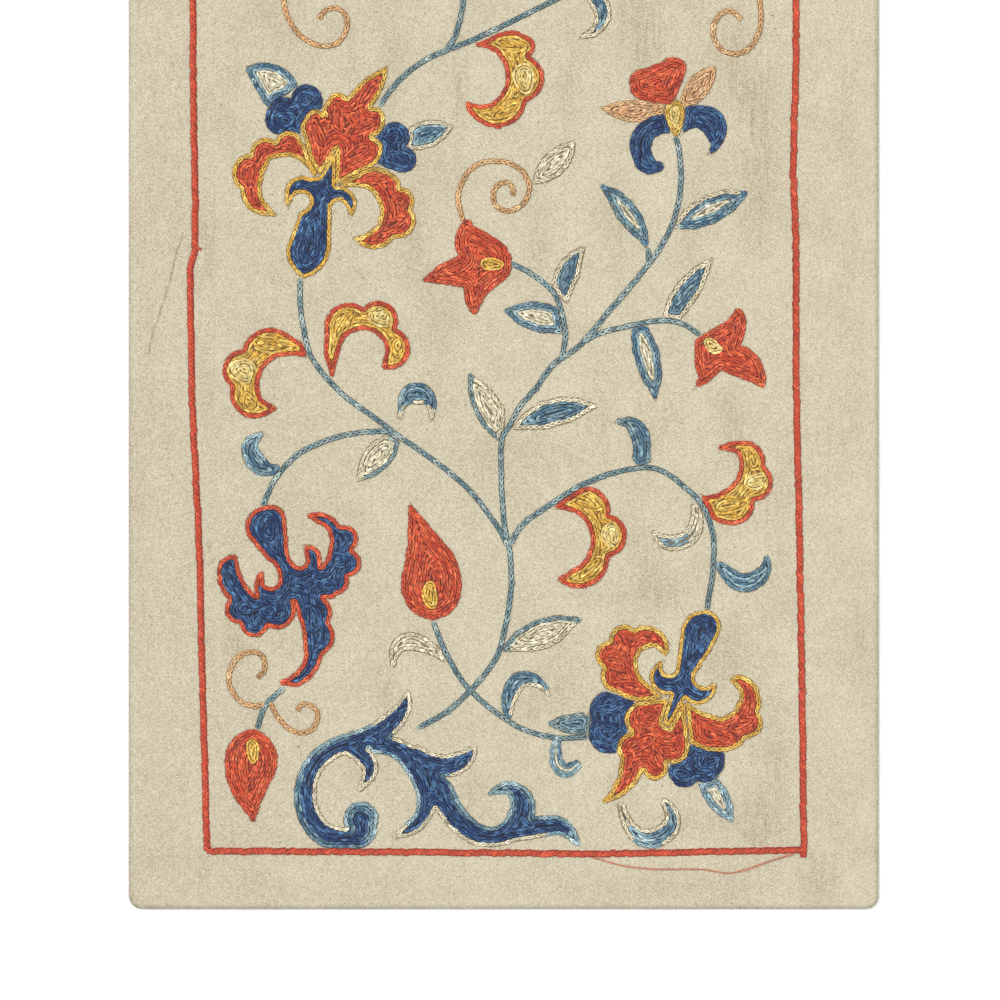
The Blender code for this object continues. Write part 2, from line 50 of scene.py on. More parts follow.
def onCloth(placesPx):
    # x and y in metres from x and y in pixels, y upwards
    p = np.asarray(placesPx, float)
    return np.stack([(p[..., 0] - sheetPlan["centreX"]) * pixel,
                     (sheetPlan["centreY"] - p[..., 1]) * pixel], axis=-1)


def toPixels(placesM):
    return np.stack([placesM[..., 0] / pixel + sheetPlan["centreX"],
                     sheetPlan["centreY"] - placesM[..., 1] / pixel], axis=-1)


def lengthsAlong(line):
    # how far along the line each of its points lies
    return np.concatenate([[0], np.cumsum(np.linalg.norm(np.diff(line, axis=0), axis=1))])


def placesAt(lengths, away, line):
    # the places at these lengths along a line whose points lie this far along it
    return np.stack([np.interp(lengths, away, column) for column in line.T], axis=-1)


def unit(vectors):
    return vectors / np.maximum(np.linalg.norm(vectors, axis=-1, keepdims=True), 1e-9)


def leftOf(vectors):
    # a quarter turn: x, y becomes -y, x
    return np.stack([-vectors[..., 1], vectors[..., 0]], axis=-1)


def inwardSign(loop, isHole):
    # by the outline's signed area, half the sum of x times the next y less the next x times y
    x, y = loop.T
    area = 0.5 * np.sum(x * np.roll(y, -1) - np.roll(x, -1) * y)
    return math.copysign(1.0, area) * (-1.0 if isHole else 1.0)


def gridOver(points, step):
    # a square grid over the box round the points
    low, high = points.min(axis=0), points.max(axis=0)
    return np.stack(np.meshgrid(np.arange(low[0], high[0], step), np.arange(low[1], high[1], step)),
                    axis=-1).reshape(-1, 2)


def gridQuads(number):
    # the cells of a grid of point numbers, or of many such grids
    return np.stack([number[..., :-1, :-1], number[..., 1:, :-1], number[..., 1:, 1:],
                     number[..., :-1, 1:]], axis=-1).reshape(-1, 4)


def inTriangles(quads):
    return np.concatenate([quads[:, [0, 1, 2]], quads[:, [0, 2, 3]]])


def facingUp(points, faces):
    # those that wind clockwise, seen from above, are turned over
    a, b, c = (points[faces[:, k], :2] for k in range(3))
    turned = (b[:, 0] - a[:, 0]) * (c[:, 1] - a[:, 1]) - (b[:, 1] - a[:, 1]) * (c[:, 0] - a[:, 0]) < 0
    faces[turned] = faces[turned][:, ::-1]
    return faces


def linear(rgb):
    # screen colour 0 to 255 to light: the sRGB curve
    c = np.asarray(rgb, float) / 255.0
    return np.where(c <= 0.04045, c / 12.92, ((c + 0.055) / 1.055) ** 2.4)


# Each silk: its own colour, and the lighter one that some of its strands show, partly
# the silk's own lighter strands and partly painted highlight
silks = {
    "borderCoral": ((178, 54, 26), (220, 98, 62)),
    "coral": ((182, 60, 30), (228, 112, 66)), "yellow": ((200, 152, 50), (236, 206, 110)),
    "paleYellow": ((212, 184, 106), (240, 224, 160)), "navy": ((12, 42, 90), (78, 120, 160)),
    "blue": ((62, 100, 124), (150, 176, 178)), "paleBlue": ((116, 150, 162), (184, 202, 200)),
    "stemBlue": ((94, 122, 128), (174, 186, 178)), "cream": ((202, 192, 160), (230, 222, 198)),
    "pink": ((200, 150, 106), (228, 190, 148)), "peach": ((202, 158, 108), (226, 190, 142)),
    "tan": ((196, 150, 100), (224, 188, 138)),
}
# Painted shade between the strands: the dark colour of the mats under the loops,
# where it isn't just the silk's own colour darkened
bedShadeSilks = {"borderCoral": (150, 52, 32), "coral": (144, 46, 28), "cream": (132, 112, 80),
            "peach": (140, 104, 72), "pink": (140, 96, 66), "tan": (142, 106, 72),
            "yellow": (146, 106, 40), "paleYellow": (160, 126, 58)}

clothLook = {
    "thickness": 0.00105, "cornerRadius": 0.0052, "swell": 0.00006,
    # the rim's top and foot as shares of the height there, how far the underside is
    # drawn in, how much of a crease it follows, and how much of a stain and of the
    # painted crease shade goes through
    "rimHigh": 0.985, "rimLow": 0.3, "drawnIn": 0.00012, "followed": 0.7, "stainAndShadeThrough": 0.4,
    "cell": 6.25,
    # finer cells in these bands of the grid, all in pixels: from, to, cell
    "fineX": [(144, 188, 0.9), (796, 808, 1.5)], "fineY": [(232, 358, 2.6), (850, 862, 1.6)],
    # creases, in pixels: places along each, then height in metres, half width, and
    # the painted shade along it, which is added to the stain
    "creases": [
        ([(149, 352), (153, 332), (161, 309), (168, 287), (173.7, 265), (177, 250), (183, 236)],
         0.00022, 1.05, 3.2),
        ([(186, 300), (192, 235)], 0.00008, 4.0, 0.15),
        ([(126, 857), (205, 857)], -0.00010, 1.8, 0.30),
        ([(205, 857), (206, 912)], -0.00008, 3.0, 0.30),
        ([(800, 857), (799, 912)], 0.00010, 2.0, 0.10),
        ([(806, 855), (882, 853)], -0.00008, 2.4, 0.25),
    ],
    # where the cloth has browned, in pixels: place, half width and half height, strength
    "stains": [
        (460, 78, 6, 62, 0.8), (353, 72, 6, 44, 0.5), (392, 75, 13, 40, 0.7), (414, 230, 10, 46, 0.6),
        (232, 93, 6, 46, 0.4), (642, 30, 24, 44, 1.0), (732, 50, 14, 48, 0.7), (757, 120, 17, 68, 1.0),
        (568, 92, 9, 44, 0.4), (692, 216, 13, 46, 0.5), (736, 430, 15, 34, 0.7), (650, 570, 13, 50, 0.45),
        (655, 594, 26, 14, 0.5), (726, 652, 17, 26, 0.9), (776, 760, 11, 60, 0.5), (756, 812, 14, 30, 0.7),
        (236, 655, 11, 32, 0.9), (386, 698, 8, 20, 0.8), (362, 622, 34, 12, 0.3), (208, 402, 9, 42, 0.4),
        (532, 712, 5, 5, 0.8), (354, 772, 12, 9, 0.6), (820, 882, 18, 24, 0.8), (151, 865, 9, 9, 0.7),
        (203, 872, 4, 18, 0.8), (135, 902, 6, 5, 0.6), (209, 238, 5, 34, 0.8), (200, 225, 9, 26, 0.4),
        (138, 500, 10, 90, 0.4), (142, 220, 12, 70, 0.3), (560, 330, 40, 12, 0.3), (500, 455, 60, 22, 0.25),
        (330, 540, 30, 60, 0.3), (860, 640, 14, 60, 0.4), (440, 330, 16, 46, 0.4), (620, 200, 12, 60, 0.35),
        (300, 430, 30, 20, 0.25), (560, 700, 40, 30, 0.4), (470, 790, 16, 22, 0.4), (690, 828, 40, 12, 0.4),
        (848, 120, 12, 70, 0.3), (540, 250, 10, 40, 0.4), (600, 420, 12, 30, 0.3), (280, 20, 20, 20, 0.4),
        (765, 205, 20, 44, 0.45), (766, 834, 26, 16, 0.5), (670, 888, 100, 14, 0.35),
        (435, 180, 22, 34, 0.22), (370, 28, 34, 24, 0.2), (765, 604, 28, 18, 0.25),
        (248, 846, 36, 10, 0.3),
    ],
}


def creaseShares(p):
    # how much of each crease is felt at each place: exp(-(distance / half width) squared)
    for places, height, halfWidth, stainAndCreaseShade in clothLook["creases"]:
        away = np.full(p.shape[:-1], 1e9)
        for start, end in zip(places[:-1], places[1:]):
            a, b = np.array(start, float), np.array(end, float)
            along = np.clip(((p - a) @ (b - a)) / ((b - a) @ (b - a)), 0, 1)
            away = np.minimum(away, np.linalg.norm(p - a - along[..., None] * (b - a), axis=-1))
        yield np.exp(-(away / halfWidth) ** 2), height, stainAndCreaseShade


def creaseHeight(p):
    return sum(share * height for share, height, stainAndCreaseShade in creaseShares(p))


def stainAndCreaseShadeAt(p):
    # real stains as soft ellipses, strength x exp(-(distance over half size) squared),
    # and the painted shade along the creases
    x, y = p[..., 0], p[..., 1]
    brown = sum(strength * np.exp(-((x - cx) / halfX) ** 2 - ((y - cy) / halfY) ** 2)
                for cx, cy, halfX, halfY, strength in clothLook["stains"])
    return np.minimum(brown, 1.0) + sum(share * stainAndCreaseShade for share, height, stainAndCreaseShade in creaseShares(p))


def gridLines(low, high, fine):
    # even cells, and finer ones within the bands
    edges, sizes = [low], []
    for start, end, size in fine:
        edges += [start, end]
        sizes += [clothLook["cell"], size]
    edges, sizes = edges + [high], sizes + [clothLook["cell"]]
    lines = [np.linspace(a, b, max(1, round((b - a) / size)), endpoint=False)
             for a, b, size in zip(edges[:-1], edges[1:], sizes)]
    return np.concatenate(lines + [[high]])


def clothTop(xy):
    # the cloth's upper surface: its thickness, long soft swells and the creases
    p = toPixels(xy)
    x, y = p[..., 0], p[..., 1]
    swells = (np.sin(x / 31.0 + 1.3 * np.sin(y / 57.0)) * np.sin(y / 44.0 + 0.8)
              + 0.6 * np.sin(x / 17.0 + y / 90.0 + 2.0) * np.sin(y / 121.0 + 0.3)
              + 0.5 * np.sin(y / 23.0 + 1.7 * np.sin(x / 71.0)))
    return clothLook["thickness"] + clothLook["swell"] * swells + creaseHeight(p)


def aboveCloth(placesPx, lift):
    # points in metres, each this far over the cloth's surface
    xy = onCloth(placesPx)
    return np.concatenate([xy, (clothTop(xy) + lift)[..., None]], axis=-1)


def putMesh(name, points, faces, smooth=True):
    # points in metres, and faces as rows of point numbers, all of one length
    mesh = bpy.data.meshes.new(name)
    mesh.vertices.add(len(points))
    mesh.vertices.foreach_set("co", np.ascontiguousarray(points, np.float32).ravel())
    size = faces.shape[1]
    mesh.loops.add(faces.size)
    mesh.loops.foreach_set("vertex_index", np.ascontiguousarray(faces, np.int32).ravel())
    mesh.polygons.add(len(faces))
    mesh.polygons.foreach_set("loop_start", np.arange(0, faces.size, size, dtype=np.int32))
    mesh.polygons.foreach_set("use_smooth", np.full(len(faces), smooth))
    mesh.update(calc_edges=True)
    mesh.validate()
    made = bpy.data.objects.new(name, mesh)
    bpy.context.scene.collection.objects.link(made)
    return made


def makeGround():
    # a closed sheet on a grid of two parameters; the rim is drawn in to round the
    # corners, and rolls from the top surface down to the underside
    halfX, halfY = 0.5 * sheetPlan["width"], 0.5 * sheetPlan["length"]
    cx, cy = sheetPlan["centreX"], sheetPlan["centreY"]
    acrossPx = gridLines(cx - halfX / pixel, cx + halfX / pixel, clothLook["fineX"])
    downPx = gridLines(cy - halfY / pixel, cy + halfY / pixel, clothLook["fineY"])
    u = ((acrossPx - cx) * pixel / halfX)[:, None] * np.ones(len(downPx))
    v = np.ones(len(acrossPx))[:, None] * ((cy - downPx[::-1]) * pixel / halfY)
    nx, ny = len(acrossPx) - 1, len(downPx) - 1
    x, y = u * halfX, v * halfY
    r = clothLook["cornerRadius"]
    overX = np.maximum(np.abs(x) - (halfX - r), 0)
    overY = np.maximum(np.abs(y) - (halfY - r), 0)
    reach = np.maximum(np.hypot(overX, overY), 1e-9)
    pull = np.where((overX > 0) & (overY > 0), np.maximum(overX, overY) / reach, 1.0)
    x = np.sign(x) * (np.minimum(np.abs(x), halfX - r) + overX * pull)
    y = np.sign(y) * (np.minimum(np.abs(y), halfY - r) + overY * pull)
    rim = (np.abs(u) > 1 - 1e-6) | (np.abs(v) > 1 - 1e-6)
    xy = np.stack([x, y], axis=-1)
    top = clothTop(xy)
    lift = np.maximum(creaseHeight(toPixels(xy)) * clothLook["followed"], 0)
    low = np.where(rim, clothLook["rimLow"] * top, lift)
    high = np.where(rim, clothLook["rimHigh"] * top, top)
    inner = np.where(rim[..., None], xy * (1 - clothLook["drawnIn"] / halfX), xy)
    points = np.concatenate([np.dstack([xy, high]).reshape(-1, 3),
                             np.dstack([inner, low]).reshape(-1, 3)])
    number = np.arange((nx + 1) * (ny + 1)).reshape(nx + 1, ny + 1)
    face = gridQuads(number)
    under = face[:, ::-1] + number.size
    ring = np.concatenate([number[:-1, 0], number[-1, :-1], number[:0:-1, -1], number[0, :0:-1]])
    nextOne = np.roll(ring, -1)
    wall = np.stack([ring + number.size, nextOne + number.size, nextOne, ring], axis=-1)
    cloth = putMesh("groundCloth", points, np.concatenate([face, under, wall]))
    # the attribute holds the real stains and the painted shade along the creases, and a share of both on the
    # underside
    brownedAndCreaseShaded = cloth.data.attributes.new("stainAndCreaseShade", "FLOAT", "POINT")
    stainAndCreaseShade = stainAndCreaseShadeAt(toPixels(xy)).reshape(-1)
    stains = np.concatenate([stainAndCreaseShade, clothLook["stainAndShadeThrough"] * stainAndCreaseShade])
    brownedAndCreaseShaded.data.foreach_set("value", stains.astype(np.float32))
    return cloth


# Widths, pitches, strand radii, insets and steps in pixels; heights and lifts in
# metres; spreads and tones are shares
stitchLook = {"seed": 11, "bed": 0.00022, "loopHeight": 0.00026, "matLift": 0.00004,
              "lengthSpread": 0.09, "sizeSpread": 0.12, "strandSpread": 0.08, "toneSpread": 0.15,
              # the tones here darken a silk's colour into painted shade: the mats' and the pads'
              "bedSpread": 0.12, "matSpread": 0.25, "bedShadeTone": 0.34, "padShadeTone": 0.35,
              # how high in the bed a strand lies, and a mat's half width, as a share of the
              # row's; how far a loop may pass its line's end, and the length each way that
              # the line's heading is taken from
              "sunk": 0.6, "matWidth": 0.52, "pastEnd": 0.7, "headingOver": 0.6,
              # the mean share of the lighter silk (partly its own lighter strands, partly painted
              # highlight), how much of the colours' variety the border has, and the painted shade
              # that darkens a strand by its height: at no height, for each height, least, most
              "lighterAndHighlitShare": 0.3, "borderVariety": 0.45, "paintedShade": (0.66, 0.40, 0.5, 1.08),
              "padInset": 1.5, "padStep": 6.0, "padLift": 0.00005}
lineStep = 0.8
kinds = {
    "edge": {"width": 4.6, "pitch": 5.5, "strand": 0.96, "drift": 0.28},
    "thinEdge": {"width": 4.0, "pitch": 5.2, "strand": 0.88, "drift": 0.24},
    "fill": {"width": 2.9, "pitch": 6.2, "strand": 0.74, "drift": 0.26},
    "line": {"width": 5.2, "pitch": 6.0, "strand": 1.06, "drift": 0.14},
    "tendril": {"width": 5.2, "pitch": 5.8, "strand": 1.05, "drift": 0.16},
    "border": {"width": 6.6, "pitch": 4.4, "strand": 1.28, "drift": 0.32},
    "spot": {"width": 2.7, "pitch": 4.6, "strand": 0.76, "drift": 0.30},
}
rng = np.random.default_rng(stitchLook["seed"])

# One chain loop, walked from its start out along one strand, round its end and
# back: how far along it is, how far to the side, and how high it stands
loopPlan = np.array([
    (-0.16, 0.10, 0.10), (0.06, 0.30, 1.00), (0.34, 0.72, 1.10), (0.66, 1.00, 0.95),
    (0.92, 0.80, 0.45), (1.03, 0.0, 0.20), (0.92, -0.80, 0.45),
    (0.66, -1.00, 0.95), (0.34, -0.72, 1.10), (0.06, -0.30, 1.00), (-0.16, -0.10, 0.10)])
# A leaning loop, for the rope-like border: one strand crosses the row at a slant,
# the other comes back along its side
leaningPlan = np.array([
    (-0.25, 0.90, 0.30), (0.10, 0.50, 0.95), (0.45, 0.00, 1.15), (0.80, -0.50, 1.10),
    (1.15, -0.85, 0.80), (1.32, -0.95, 0.30), (1.15, -0.20, 0.15),
    (0.95, 0.50, 0.45), (0.70, 0.85, 0.85), (0.35, 0.95, 0.90), (-0.05, 0.90, 0.45)])
# How thick the strand is at each of those points, as a share of its radius
strandPlan = np.array([0.75, 0.9, 1, 1, 0.95, 0.85, 0.95, 1, 1, 0.9, 0.75])
# The bed under a loop: a small mat, three places along it by three across, coloured
# in painted shade
matPlan = np.array([(u, v, 1.0 - abs(v)) for u in (-0.12, 0.45, 1.02) for v in (-1, 0, 1)])

Batch = namedtuple("Batch", "middle height radius colour mat matHeight bed")
Zone = namedtuple("Zone", "colour x y radius rows")
Spot = namedtuple("Spot", "colour x y halfLength halfWidth turn kind height", defaults=("spot", 1.3))


def uneven(spread, count):
    # a factor for each loop: 1 + spread x a normal random number
    return 1 + spread * rng.standard_normal((count, 1))


def bedShadeTones(name, count):
    # the mat's painted shade: the silk's own colour darkened, or what the table above says
    plain = linear(bedShadeSilks[name]) if name in bedShadeSilks else linear(silks[name][0]) * stitchLook["bedShadeTone"]
    return np.broadcast_to(plain, (count, 3)) * uneven(stitchLook["bedSpread"], count)


def silkTones(name, count, variety=1.0):
    # each loop's colour lies between the silk's two, mostly near the plain one (a beta
    # random share), and is a little lighter or darker; the lighter one is partly painted highlight
    plain, light = (linear(c) for c in silks[name])
    mean = stitchLook["lighterAndHighlitShare"]
    share = mean + variety * (rng.beta(0.75, 1.7, (count, 1)) - mean)
    tone = np.clip(uneven(variety * stitchLook["toneSpread"], count), 0.6, 1.5)
    return (plain + (light - plain) * share) * tone


def stitchesAlong(line, kind, silk, height=1.0):
    # line: points in pixels. The loops stand one behind another along it; each loop's
    # points are found at their lengths along the line and moved to the side
    look = kinds[kind]
    length = lengthsAlong(line)
    count = max(1, round(length[-1] / look["pitch"]))
    own = length[-1] / count
    starts = np.arange(count)[:, None] * own
    spread = uneven(stitchLook["lengthSpread"], count)
    sway = look["drift"] * rng.standard_normal((count, 1))

    def moved(plan, wide):
        past, over = stitchLook["pastEnd"], stitchLook["headingOver"]
        reach = np.clip(starts + own * plan[None, :, 0] * spread, -past, length[-1] + past)
        before, here, after = (placesAt(reach + d, length, line) for d in (-over, 0, over))
        heading = unit(after - before)
        beyondEnd = reach - np.clip(reach, 0, length[-1])
        aside = plan[None, :, 1] * wide + sway
        return here + heading * beyondEnd[..., None] + leftOf(heading) * aside[..., None]

    plan = leaningPlan if kind == "border" else loopPlan
    wide = (0.5 * look["width"] - look["strand"]) * uneven(stitchLook["sizeSpread"], count)
    tall = plan[None, :, 2] * height * uneven(stitchLook["sizeSpread"], count)
    thick = look["strand"] * strandPlan * uneven(stitchLook["strandSpread"], count)
    lift = 1 + stitchLook["matSpread"] * rng.random((count, 1))
    variety = stitchLook["borderVariety"] if kind == "border" else 1.0
    return Batch(moved(plan, wide), tall, thick, silkTones(silk, count, variety),
                 moved(matPlan, np.full((count, 1), stitchLook["matWidth"] * look["width"])),
                 matPlan[None, :, 2] * lift, bedShadeTones(silk, count))


def stack(batches):
    # all the loops of several batches as one
    return Batch(*[np.concatenate(parts) for parts in zip(*batches)])


def only(batch, keep):
    return Batch(*[part[keep] for part in batch])


def strandMesh(batch):
    # a four sided tube carried along every loop at once: centre + radius x
    # (cos x side + sin x up) for the ring, one ring at each of the loop's points
    centre = aboveCloth(batch.middle, stitchLook["bed"] * stitchLook["sunk"])
    centre[..., 2] += batch.height * stitchLook["loopHeight"]
    along = unit(np.gradient(centre, axis=1))
    side = unit(np.cross(along, np.array([0.0, 0.0, 1.0])))[:, :, None]
    up = np.cross(side, along[:, :, None])
    angle = np.radians([45, 135, 225, 315])[None, None, :, None]
    radius = (batch.radius * pixel)[..., None, None]
    ring = centre[:, :, None] + radius * (np.cos(angle) * side + np.sin(angle) * up)
    loops, places = batch.height.shape
    number = np.arange(loops * places * 4).reshape(loops, places, 4)
    a, b = number[:, :-1], number[:, 1:]
    quads = np.stack([a, np.roll(a, -1, 2), np.roll(b, -1, 2), b], axis=-1).reshape(-1, 4)
    # painted shade: the strand's colour is darker where it dips under its neighbour, and a
    # little lighter, a painted highlight, at the top of the loop
    base, rise, least, most = stitchLook["paintedShade"]
    paintedShade = np.clip(base + rise * batch.height, least, most)[:, :, None, None]
    colour = np.broadcast_to(batch.colour[:, None, None], (loops, places, 4, 3)) * paintedShade
    return ring.reshape(-1, 3), quads, colour.reshape(-1, 3)


def matMesh(batch):
    # the mats: a grid of three by three points under each loop, raised in the middle,
    # in painted shade
    points = aboveCloth(batch.mat, stitchLook["bed"] * batch.matHeight)
    points[..., 2] += stitchLook["matLift"]
    number = np.arange(points.shape[0] * 9).reshape(-1, 3, 3)
    return points.reshape(-1, 3), gridQuads(number), np.repeat(batch.bed, 9, axis=0)


def clearOf(points, loops):
    # distance from each point to the nearest edge of the outlines
    near = np.full(len(points), 1e9)
    for loop in loops:
        a, b = loop, np.roll(loop, -1, axis=0)
        edge = b - a
        square = np.maximum((edge ** 2).sum(1), 1e-12)
        for low in range(0, len(points), 4000):
            p = points[low:low + 4000, None]
            t = np.clip(((p - a) * edge).sum(-1) / square, 0, 1)
            away = np.linalg.norm(p - a - t[..., None] * edge, axis=-1).min(axis=1)
            near[low:low + 4000] = np.minimum(near[low:low + 4000], away)
    return near


# Rows of loops inside an outline, in pixels: where the first one starts, how far a
# line's points may stand apart, the steps round a corner and along a side, the
# slack in their distance, and the shortest line that is sewn. A turn of tipTurn
# degrees ends a line. Two shares, first for the edge row, then for the others: how
# much of the way to a tip its line goes on, and how much of its width a row takes
rowLook = {"start": -0.35, "joined": 1.6, "cornerStep": 0.7, "sideStep": 0.6, "slack": 0.06,
           "shortest": 1.5, "tipTurn": 70, "toTip": (0.55, 0.3), "takes": (0.96, 0.92), "most": 60}


def insetLines(loops, inset, tipReach):
    # every point of the outlines is moved inwards by the inset and kept where it is
    # still that far from all of them; the kept ones are joined while they are near
    lines = []
    for loop in loops:
        inward = inwardSign(loop, loop is not loops[0])
        edge = np.roll(loop, -1, axis=0) - loop
        heading = np.arctan2(edge[:, 1], edge[:, 0])
        before = np.roll(heading, 1)
        turn = (heading - before + math.pi) % (2 * math.pi) - math.pi
        opens = turn * inward < 0
        fan = 1 + np.where(opens, np.ceil(np.abs(turn) * max(inset, 2.0) / rowLook["cornerStep"]), 0)
        fan = fan.astype(int)
        corner = np.repeat(np.arange(len(loop)), fan)
        first = np.concatenate([[0], np.cumsum(fan)[:-1]])
        part = (np.arange(len(corner)) - first[corner] + 0.5) / fan[corner]
        fanAngle = before[corner] + turn[corner] * part
        count = np.maximum(1, np.ceil(np.linalg.norm(edge, axis=1) / rowLook["sideStep"])).astype(int)
        side = np.repeat(np.arange(len(loop)), count)
        firstOn = np.concatenate([[0], np.cumsum(count)[:-1]])
        on = (np.arange(len(side)) - firstOn[side] + 0.5) / count[side]
        places = np.concatenate([loop[corner], loop[side] + edge[side] * on[:, None]])
        angles = np.concatenate([fanAngle, heading[side]])
        order = np.argsort(np.concatenate([corner + 0.4 * part, side + 0.5 + 0.45 * on]), kind="stable")
        places, angles = places[order], angles[order]
        normal = np.stack([-np.sin(angles), np.cos(angles)], axis=-1) * inward
        moved = places + normal * inset
        keep = np.flatnonzero(clearOf(moved, loops) > inset - rowLook["slack"])
        if len(keep) < 3:
            continue
        tips = places[order < len(corner)]
        moved, normal = moved[keep], normal[keep]
        step = np.linalg.norm(np.roll(moved, -1, axis=0) - moved, axis=1)
        swing = (np.roll(normal, -1, axis=0) * normal).sum(1)
        isSharp = swing < math.cos(math.radians(rowLook["tipTurn"]))
        breaks = np.flatnonzero((step > rowLook["joined"]) | isSharp)
        if len(breaks) == 0:
            lines.append(np.concatenate([moved, moved[:1]]))
            continue
        shift = breaks[0] + 1
        moved, isSharp = np.roll(moved, -shift, axis=0), np.roll(isSharp, -shift)
        breaks = np.sort((breaks - shift) % len(moved))
        runs = np.split(moved, breaks[:-1] + 1)
        for run, last in zip(runs, breaks):
            if len(run) < 2:
                continue
            if isSharp[last]:
                near = tips[np.argmin(np.linalg.norm(tips - run[-1], axis=1))]
                run = np.vstack([run, run[-1:] + (near - run[-1]) * tipReach])
            lines.append(run)
    return [line for line in lines if lengthsAlong(line)[-1] > rowLook["shortest"]]


def smoothed(line):
    # even steps along the line, each place the mean of its neighbours
    away = lengthsAlong(line)
    count = max(2, int(away[-1] / lineStep) + 1)
    out = placesAt(np.linspace(0, away[-1], count), away, line)
    for _ in range(2):
        out[1:-1] = 0.25 * out[:-2] + 0.5 * out[1:-1] + 0.25 * out[2:]
    return out


def ellipse(spot):
    # outline: half length and half width along and across the turn, a little uneven
    angle = np.linspace(0, 2 * math.pi, 24, endpoint=False)
    turn = math.radians(spot.turn)
    uneven = 1 + 0.07 * np.sin(3 * angle + spot.x) + 0.05 * np.sin(2 * angle + spot.y)
    a, b = spot.halfLength * np.cos(angle) * uneven, spot.halfWidth * np.sin(angle) * uneven
    return np.stack([spot.x + a * math.cos(turn) - b * math.sin(turn),
                     spot.y + a * math.sin(turn) + b * math.cos(turn)], axis=-1)


def inside(points, loop):
    # an odd number of the outline's edges pass to the right of the point
    a, b = loop[None], np.roll(loop, -1, axis=0)[None]
    p = points[:, None]
    spans = (a[..., 1] > p[..., 1]) != (b[..., 1] > p[..., 1])
    rise = np.where(spans, b[..., 1] - a[..., 1], 1.0)
    cross = a[..., 0] + (p[..., 1] - a[..., 1]) * (b[..., 0] - a[..., 0]) / rise
    return (np.sum(spans & (cross > p[..., 0]), axis=1) % 2) == 1


def nodeLoops(node):
    # the outlines of a solid's upper face, in pixels, the longest one first
    work = bmesh.new()
    work.from_mesh(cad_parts[node].data)
    bmesh.ops.remove_doubles(work, verts=work.verts, dist=1e-6)
    work.normal_update()
    # a dictionary keeps the faces in their order, so that every run sews alike
    up = dict.fromkeys(f for f in work.faces if f.normal.z > 0.9)
    following = {}
    for face in up:
        for loop in face.loops:
            if not any(other in up for other in loop.edge.link_faces if other is not face):
                following[loop.vert] = loop.link_loop_next.vert
    loops = []
    while following:
        start, here = following.popitem()
        path = [start]
        while here is not start:
            path.append(here)
            here = following.pop(here)
        loops.append(toPixels(np.array([(v.co.x, v.co.y) for v in path])))
    work.free()
    loops.sort(key=lambda p: -np.ptp(p[:, 0]) * np.ptp(p[:, 1]))
    return loops


# What the rows leave bare, in pixels: the grid that looks for it, how far a bare
# point is from every mat and from the outline, how far a patch reaches from its
# first point, the shortest and longest half of a stitch, and the share of a row's
# width that it covers on each side
gapLook = {"step": 0.8, "bare": 1.75, "clear": 1.6, "patch": 3.6, "half": (1.6, 3.8),
           "covers": 0.55, "most": 240}


def gapStitches(loops, batches):
    # bare points of a grid are gathered into short stitches, each laid along the
    # longer way of its own little patch
    grid = gridOver(loops[0], gapLook["step"])
    grid = grid[inside(grid, loops[0])]
    for loop in loops[1:]:
        grid = grid[~inside(grid, loop)]
    grid = grid[clearOf(grid, loops) > gapLook["clear"]]
    sewn = np.concatenate([batch.mat.reshape(-1, 2) for batch in batches])
    isBare = [np.min(np.sum((sewn - p) ** 2, axis=1)) > gapLook["bare"] ** 2 for p in grid]
    bare = grid[np.array(isBare, bool)]
    lines = []
    while len(bare) > 1 and len(lines) < gapLook["most"]:
        seed = bare[0]
        patch = bare[np.linalg.norm(bare - seed, axis=1) < gapLook["patch"]]
        centre = patch.mean(axis=0)
        way = np.array([1.0, 0.0])
        if len(patch) > 2:
            way = np.linalg.eigh(np.cov((patch - centre).T) + np.eye(2) * 1e-6)[1][:, -1]
        reach = np.clip(np.abs((patch - centre) @ way).max() + gapLook["step"], *gapLook["half"])
        lines.append(np.stack([centre - way * reach, centre, centre + way * reach]))
        offset = bare - centre
        along = np.clip(offset @ way, -reach, reach)
        away = np.linalg.norm(offset - along[:, None] * way, axis=1)
        left = away > gapLook["covers"] * kinds["fill"]["width"]
        bare = bare[left & (np.linalg.norm(bare - seed, axis=1) > 1.0)]
    return lines


